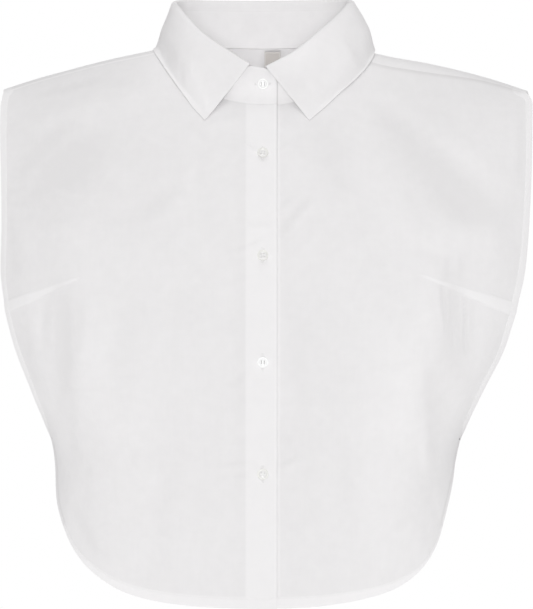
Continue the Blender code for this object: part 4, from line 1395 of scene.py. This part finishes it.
def bumped(tree, shader, heights):
    """Adds up heights, each with its real rise in metres, as bumps one on the other."""
    normal = None
    for height, rise in heights:
        bump = tree.nodes.new("ShaderNodeBump")
        bump.inputs["Strength"].default_value = 1.0
        bump.inputs["Distance"].default_value = rise
        tree.links.new(height, bump.inputs["Height"])
        if normal is not None:
            tree.links.new(normal, bump.inputs["Normal"])
        normal = bump.outputs["Normal"]
    tree.links.new(normal, shader.inputs["Normal"])


# %% Poplin for the body
SOFT = {"Sheen_Weight": 0.10, "Sheen_Roughness": 0.5}  # the bloom of cotton
# doubled cloth and painted highlights share the lighter white; seams and painted shadows share the grey
DOUBLED_AND_HIGHLIGHT_WHITE, SEAM_AND_SHADOW_GREY = (0.945, 0.935, 0.94, 1), (0.50, 0.48, 0.48, 1)
WEAVE_GREY, WEAVE_SHARE, WEAVE_RISE = (0.70, 0.69, 0.70, 1), 0.05, 0.000012
BODY_WHITE, BODY_SHADE = (0.890, 0.878, 0.884, 1), (0.790, 0.779, 0.784, 1)
BODY_EDGES = {  # each line's or step's distance, where it lies on it, and its width
    "hem": ("to_hem", 1.0, 0.14),
    "band": ("to_band", 0.0, 0.0010),
    # painted shade on the single cloth beside the band on top
    "beside": ("to_band", 0.0035, 0.0050),
    # a painted highlight along the rolled edge of the band on top
    "rolled": ("to_band", -0.0240, 0.0007),
    # a painted shadow beside the edge of the band on top
    "gap": ("to_band", -0.0023, 0.0006),
    "dart": ("to_dart", 0.0, 0.0007),
    "intake": ("to_intake", 0.0, 0.0008),
    # a painted highlight on the upper front's shoulder seam, and painted shadow under the seams
    "shoulder": ("to_shoulder", 0.0010, 0.0009),
    "under": ("to_shoulder", 0.0016, 0.0026),
    # painted shadow under the stand
    "neck": ("to_neck", 0.0028, 0.0042),
    # painted shadow along the side's edge at the join
    "slit": ("to_slit", 0.0026, 0.0009),
}


def body_poplin():
    """One layer of cotton, lighter where it is doubled, with its seam lines, painted highlights and painted
    shadows.
    """
    material, tree, shader = start_material("poplin_body", Roughness=0.88, Specular_IOR_Level=0.2, **SOFT)
    cut, place = coordinates(tree)
    weave = used(tree, WEAVE, Cut=cut)
    fold = read(tree, "fold")
    drift_and_shade = used(tree, DRIFT_AND_SHADE, Place=place, Cut=cut, Fold=fold, Colour=BODY_WHITE, Shade=BODY_SHADE)
    line, within = {}, {}
    for name, (distance, at, width) in BODY_EDGES.items():
        edge = used(tree, EDGE, Distance=read(tree, distance), At=at, Width=width)
        line[name], within[name] = edge["Line"], edge["Within"]
    upper = read(tree, "upper")
    folded = maths(tree, "MAXIMUM", within["hem"], read(tree, "over_intake"))
    # doubled cloth drawn lighter, with painted highlights on the rolled band edge and the upper shoulder seam
    light = strongest(tree, [
        (folded, 0.66), (within["band"], 0.53), (line["rolled"], 0.9),
        (line["shoulder"], upper), (line["hem"], 0.60),
    ])
    beside = times(tree, line["beside"], maths(tree, "SUBTRACT", 1.0, within["band"]))
    # the dart's lines, and painted shadows beside the band, under the seams and stand, beside the lap and at
    # the side
    dark = added(tree, [
        (line["dart"], 0.05), (line["intake"], 0.3), (beside, times(tree, upper, 0.08)),
        (line["under"], read(tree, "shoulder_shadow")), (line["neck"], 0.08),
        (line["gap"], read(tree, "lap_shadow")), (line["slit"], 0.8),
    ])
    lighter = mixed(tree, times(tree, light, 0.85), drift_and_shade["Colour"], DOUBLED_AND_HIGHLIGHT_WHITE)
    toned = mixed(tree, times(tree, dark, 0.20), lighter, SEAM_AND_SHADOW_GREY)
    woven_over(tree, shader, toned, weave["Tone"], WEAVE_SHARE, WEAVE_GREY)
    stitched = maths(tree, "MAXIMUM", line["hem"], times(tree, line["dart"], 0.3))
    bumped(tree, shader, [
        (drift_and_shade["Height"], 0.0010), (folded, 0.00025), (times(tree, stitched, -1.0), 0.00010),
        (weave["Height"], WEAVE_RISE),
    ])
    return material


POPLIN = body_poplin()

# %% Poplin for the collar
# the painted highlight along the collar's edges
COLLAR_EDGE_HIGHLIGHT = (0.94, 0.93, 0.935, 1)
COLLAR_SHADE = (0.815, 0.803, 0.808, 1)


def collar_poplin(name, colour):
    """Layers of cotton, with a painted highlight along the edge and a painted shadow line where the stand's
    ends lap.
    """
    material, tree, shader = start_material(name, Roughness=0.84, Specular_IOR_Level=0.22, **SOFT)
    cut, place = coordinates(tree)
    weave = used(tree, WEAVE, Cut=cut)
    fold = read(tree, "fold")
    drift_and_shade = used(tree, DRIFT_AND_SHADE, Place=place, Cut=cut, Fold=fold, Colour=colour, Shade=COLLAR_SHADE)
    # a painted highlight along the edge, and a painted shadow line where the stand's ends lap
    edge = used(tree, EDGE, Distance=read(tree, "to_edge"), At=0.0009, Width=0.0008)
    lap = used(tree, EDGE, Distance=read(tree, "to_lap"), At=0.0005, Width=0.0005)
    lighter = mixed(tree, times(tree, edge["Line"], 0.2), drift_and_shade["Colour"], COLLAR_EDGE_HIGHLIGHT)
    toned = mixed(tree, times(tree, lap["Line"], 0.5), lighter, SEAM_AND_SHADOW_GREY)
    woven_over(tree, shader, toned, weave["Tone"], WEAVE_SHARE, WEAVE_GREY)
    bumped(tree, shader, [(drift_and_shade["Height"], 0.0006), (weave["Height"], WEAVE_RISE)])
    return material


LEAF_POPLIN = collar_poplin("poplin_leaf", (0.915, 0.902, 0.908, 1))
# the stand's poplin is painted lighter than the leaf's, as light that falls on it
STAND_POPLIN = collar_poplin("poplin_stand", (0.935, 0.922, 0.928, 1))

# %% [markdown]
# ### Buttons, thread and label
#
# The buttons are turned from white polyester with a trace of pearl, polished on the rim, and two of them are
# painted bright where they catch the light. The thread is matt cotton, white at the hems. In those two
# buttons it is grey, and part of that grey is painted shade in the dish. The bar tack on the wearer's left is
# painted dark as its shadow. The label is a coarse taupe tape with lighter edges.

# %% Finish for the buttons
BUTTON_FACE, BUTTON_RIM = (0.875, 0.865, 0.855, 1), (0.86, 0.855, 0.82, 1)
BUTTON_BRIGHT, BUTTON_CLOUD = (1.0, 1.0, 1.0, 1), (0.70, 0.72, 0.74, 1)
PEARL_SCALE, PEARL_SHARE = 320.0, 0.12  # how fine its clouds are, and how much they change it


def button_white():
    """Pearly white, warmer on the rim, and brighter where the light is caught."""
    material, tree, shader = start_material("button_white", Coat_Weight=0.25, Coat_Roughness=0.2)
    clouds = noise(tree, object_place(tree), PEARL_SCALE, 3.0)
    dull = mixed(tree, read(tree, "rim"), BUTTON_FACE, BUTTON_RIM)
    base = mixed(tree, read(tree, "bright"), dull, BUTTON_BRIGHT)
    pearl = mixed(tree, times(tree, clouds, PEARL_SHARE), base, BUTTON_CLOUD)
    tree.links.new(pearl, shader.inputs["Base Color"])
    tree.links.new(maths(tree, "MULTIPLY_ADD", clouds, PEARL_SHARE, 0.28), shader.inputs["Roughness"])
    bumped(tree, shader, [(clouds, 0.00005)])
    return material


BUTTON = button_white()

# %% Finish for the threads
PLY_BANDS = 1400.0


def cotton(name, colour, shade):
    """Two plies twisted round each other, as fine diagonal bands."""
    material, tree, shader = start_material(name, Roughness=0.75, Sheen_Weight=0.2)
    place = object_place(tree)
    ply = tree.nodes.new("ShaderNodeTexWave")
    ply.bands_direction = "DIAGONAL"
    ply.inputs["Scale"].default_value = PLY_BANDS
    tree.links.new(place, ply.inputs["Vector"])
    share = added(tree, [(noise(tree, place, 300.0), 0.5), (ply.outputs["Fac"], 0.5)])
    tree.links.new(mixed(tree, share, colour, shade), shader.inputs["Base Color"])
    bumped(tree, shader, [(ply.outputs["Fac"], 0.00003)])
    return material


THREAD = cotton("cotton_thread", (0.93, 0.92, 0.925, 1), (0.87, 0.86, 0.865, 1))
# part of this grey is painted shade in the dish of the button
BUTTON_THREAD_SHADED = cotton("button_thread_grey_shaded", (0.74, 0.73, 0.73, 1), (0.60, 0.59, 0.59, 1))
# the bar tack's thread is painted dark as its shadow
TACK_THREAD_SHADOW = cotton("tack_thread_painted_shadow", (0.46, 0.45, 0.45, 1), (0.34, 0.33, 0.33, 1))

# %% Finish for the label
TAPE_TAUPE, TAPE_SHADE = (0.66, 0.63, 0.605, 1), (0.57, 0.54, 0.515, 1)
TAPE_SELVEDGE, TAPE_HOLLOW = (0.80, 0.78, 0.76, 1), (0.46, 0.42, 0.40, 1)


def label_tape():
    """A coarse taupe weave with lighter selvedges."""
    material, tree, shader = start_material("label_tape", Roughness=0.82)
    cut, place = coordinates(tree)
    weave = used(tree, WEAVE, Cut=cut, Ends=2200.0, Picks=1700.0)
    drift_and_shade = used(tree, DRIFT_AND_SHADE, Place=place, Cut=cut, Colour=TAPE_TAUPE, Shade=TAPE_SHADE)
    edge = used(tree, EDGE, Distance=read(tree, "to_edge"), At=0.0011, Width=0.00025)
    bordered = mixed(tree, times(tree, edge["Within"], 0.7), drift_and_shade["Colour"], TAPE_SELVEDGE)
    woven_over(tree, shader, bordered, weave["Tone"], 0.25, TAPE_HOLLOW)
    bumped(tree, shader, [(edge["Within"], 0.0001), (weave["Height"], 0.00004)])
    return material


TAPE = label_tape()

# %% Give each piece its finish
shaded_grey_threads = [threads[i - 1] for i in BRIGHT]
white_threads = [thread for thread in threads if thread not in shaded_grey_threads]
for material, pieces in (
    (POPLIN, [right_front, left_front, back]),
    (LEAF_POPLIN, [leaf]),
    (STAND_POPLIN, [stand]),
    (BUTTON, buttons),
    (BUTTON_THREAD_SHADED, shaded_grey_threads),
    (TACK_THREAD_SHADOW, [left_tack]),
    (THREAD, [*white_threads, *holes, right_tack, right_stitches, left_stitches, back_stitches]),
    (TAPE, [label]),
):
    for piece in pieces:
        piece.data.materials.clear()
        piece.data.materials.append(material)
    print(f"{material.name}: {len(pieces)} pieces")

# %% [markdown]
# ## Light and ground
#
# White on white needs even light, so the room itself is white. Three soft lamps stand with the camera: one
# above it, one level with it, and a low one that reaches beneath the collar points. One stands behind the
# shirt, and one hangs overhead. Two more stand low at the left and right and only graze the cloth: they keep
# the sides from going dark and bring out the creases. A tiny lamp inside lights the back of the neck. The
# floor is plain and pale.

# %% White room
ROOM_LIGHT = 0.38  # the room is seen as pure white, and lights the shirt with this share of that
scene = bpy.context.scene
scene.view_settings.view_transform = "Standard"
world = bpy.data.worlds.new("white_room")
scene.world = world
world.use_nodes = True
room = world.node_tree
background = room.nodes["Background"]
background.inputs["Color"].default_value = (1, 1, 1, 1)
seen_by = room.nodes.new("ShaderNodeLightPath").outputs["Is Camera Ray"]
plug(room, maths(room, "MULTIPLY_ADD", seen_by, 1.0 - ROOM_LIGHT, ROOM_LIGHT), background.inputs["Strength"])

# %% Soft lamps
LAMPS = {  # where a lamp stands, what it points at, its size in metres, and its power in watts
    "lamp_front": ((0, -2.90, 0.35), (0, 0, -0.15), 1.2, 17.2),
    "lamp_level": ((0, -2.95, -0.20), (0, 0, -0.20), 0.6, 17.0),
    "lamp_low": ((0, -2.95, -0.75), (0, 0, -0.20), 1.2, 8.0),
    "lamp_back": ((0, 3.0, 0.85), (0, 0, -0.15), 1.4, 42.0),
    "lamp_top": ((0, -0.3, 2.5), (0, 0, -0.10), 1.2, 19.0),
    "lamp_left": ((-2.4, 0.10, -0.80), (0, 0, -0.34), 1.0, 13.0),
    "lamp_right": ((2.4, 0.05, -0.65), (0, 0, -0.30), 1.0, 13.5),
    "lamp_inside": ((0, -0.01, -0.10), (0, 0.10, 0.02), 0.05, 0.0215),
}
for name, (place, target, size, power) in LAMPS.items():
    bpy.ops.object.light_add(type="AREA", location=place)
    lamp = bpy.context.active_object
    lamp.name = name
    lamp.data.shape = "SQUARE"
    lamp.data.size = size
    lamp.data.energy = power
    lamp.visible_camera = False
    lamp.rotation_euler = (Vector(target) - Vector(place)).to_track_quat("-Z", "Y").to_euler()
print("lamps:", len(LAMPS))

# %% A pale floor
FLOOR_HEIGHT = -1.35
bpy.ops.mesh.primitive_plane_add(size=3.0, location=(0, 0, FLOOR_HEIGHT))
floor = bpy.context.active_object
floor.name = "floor"
floor_white, _, floor_shader = start_material("floor_white", Roughness=0.9)
floor_shader.inputs["Base Color"].default_value = (0.9, 0.9, 0.9, 1)
floor.data.materials.append(floor_white)
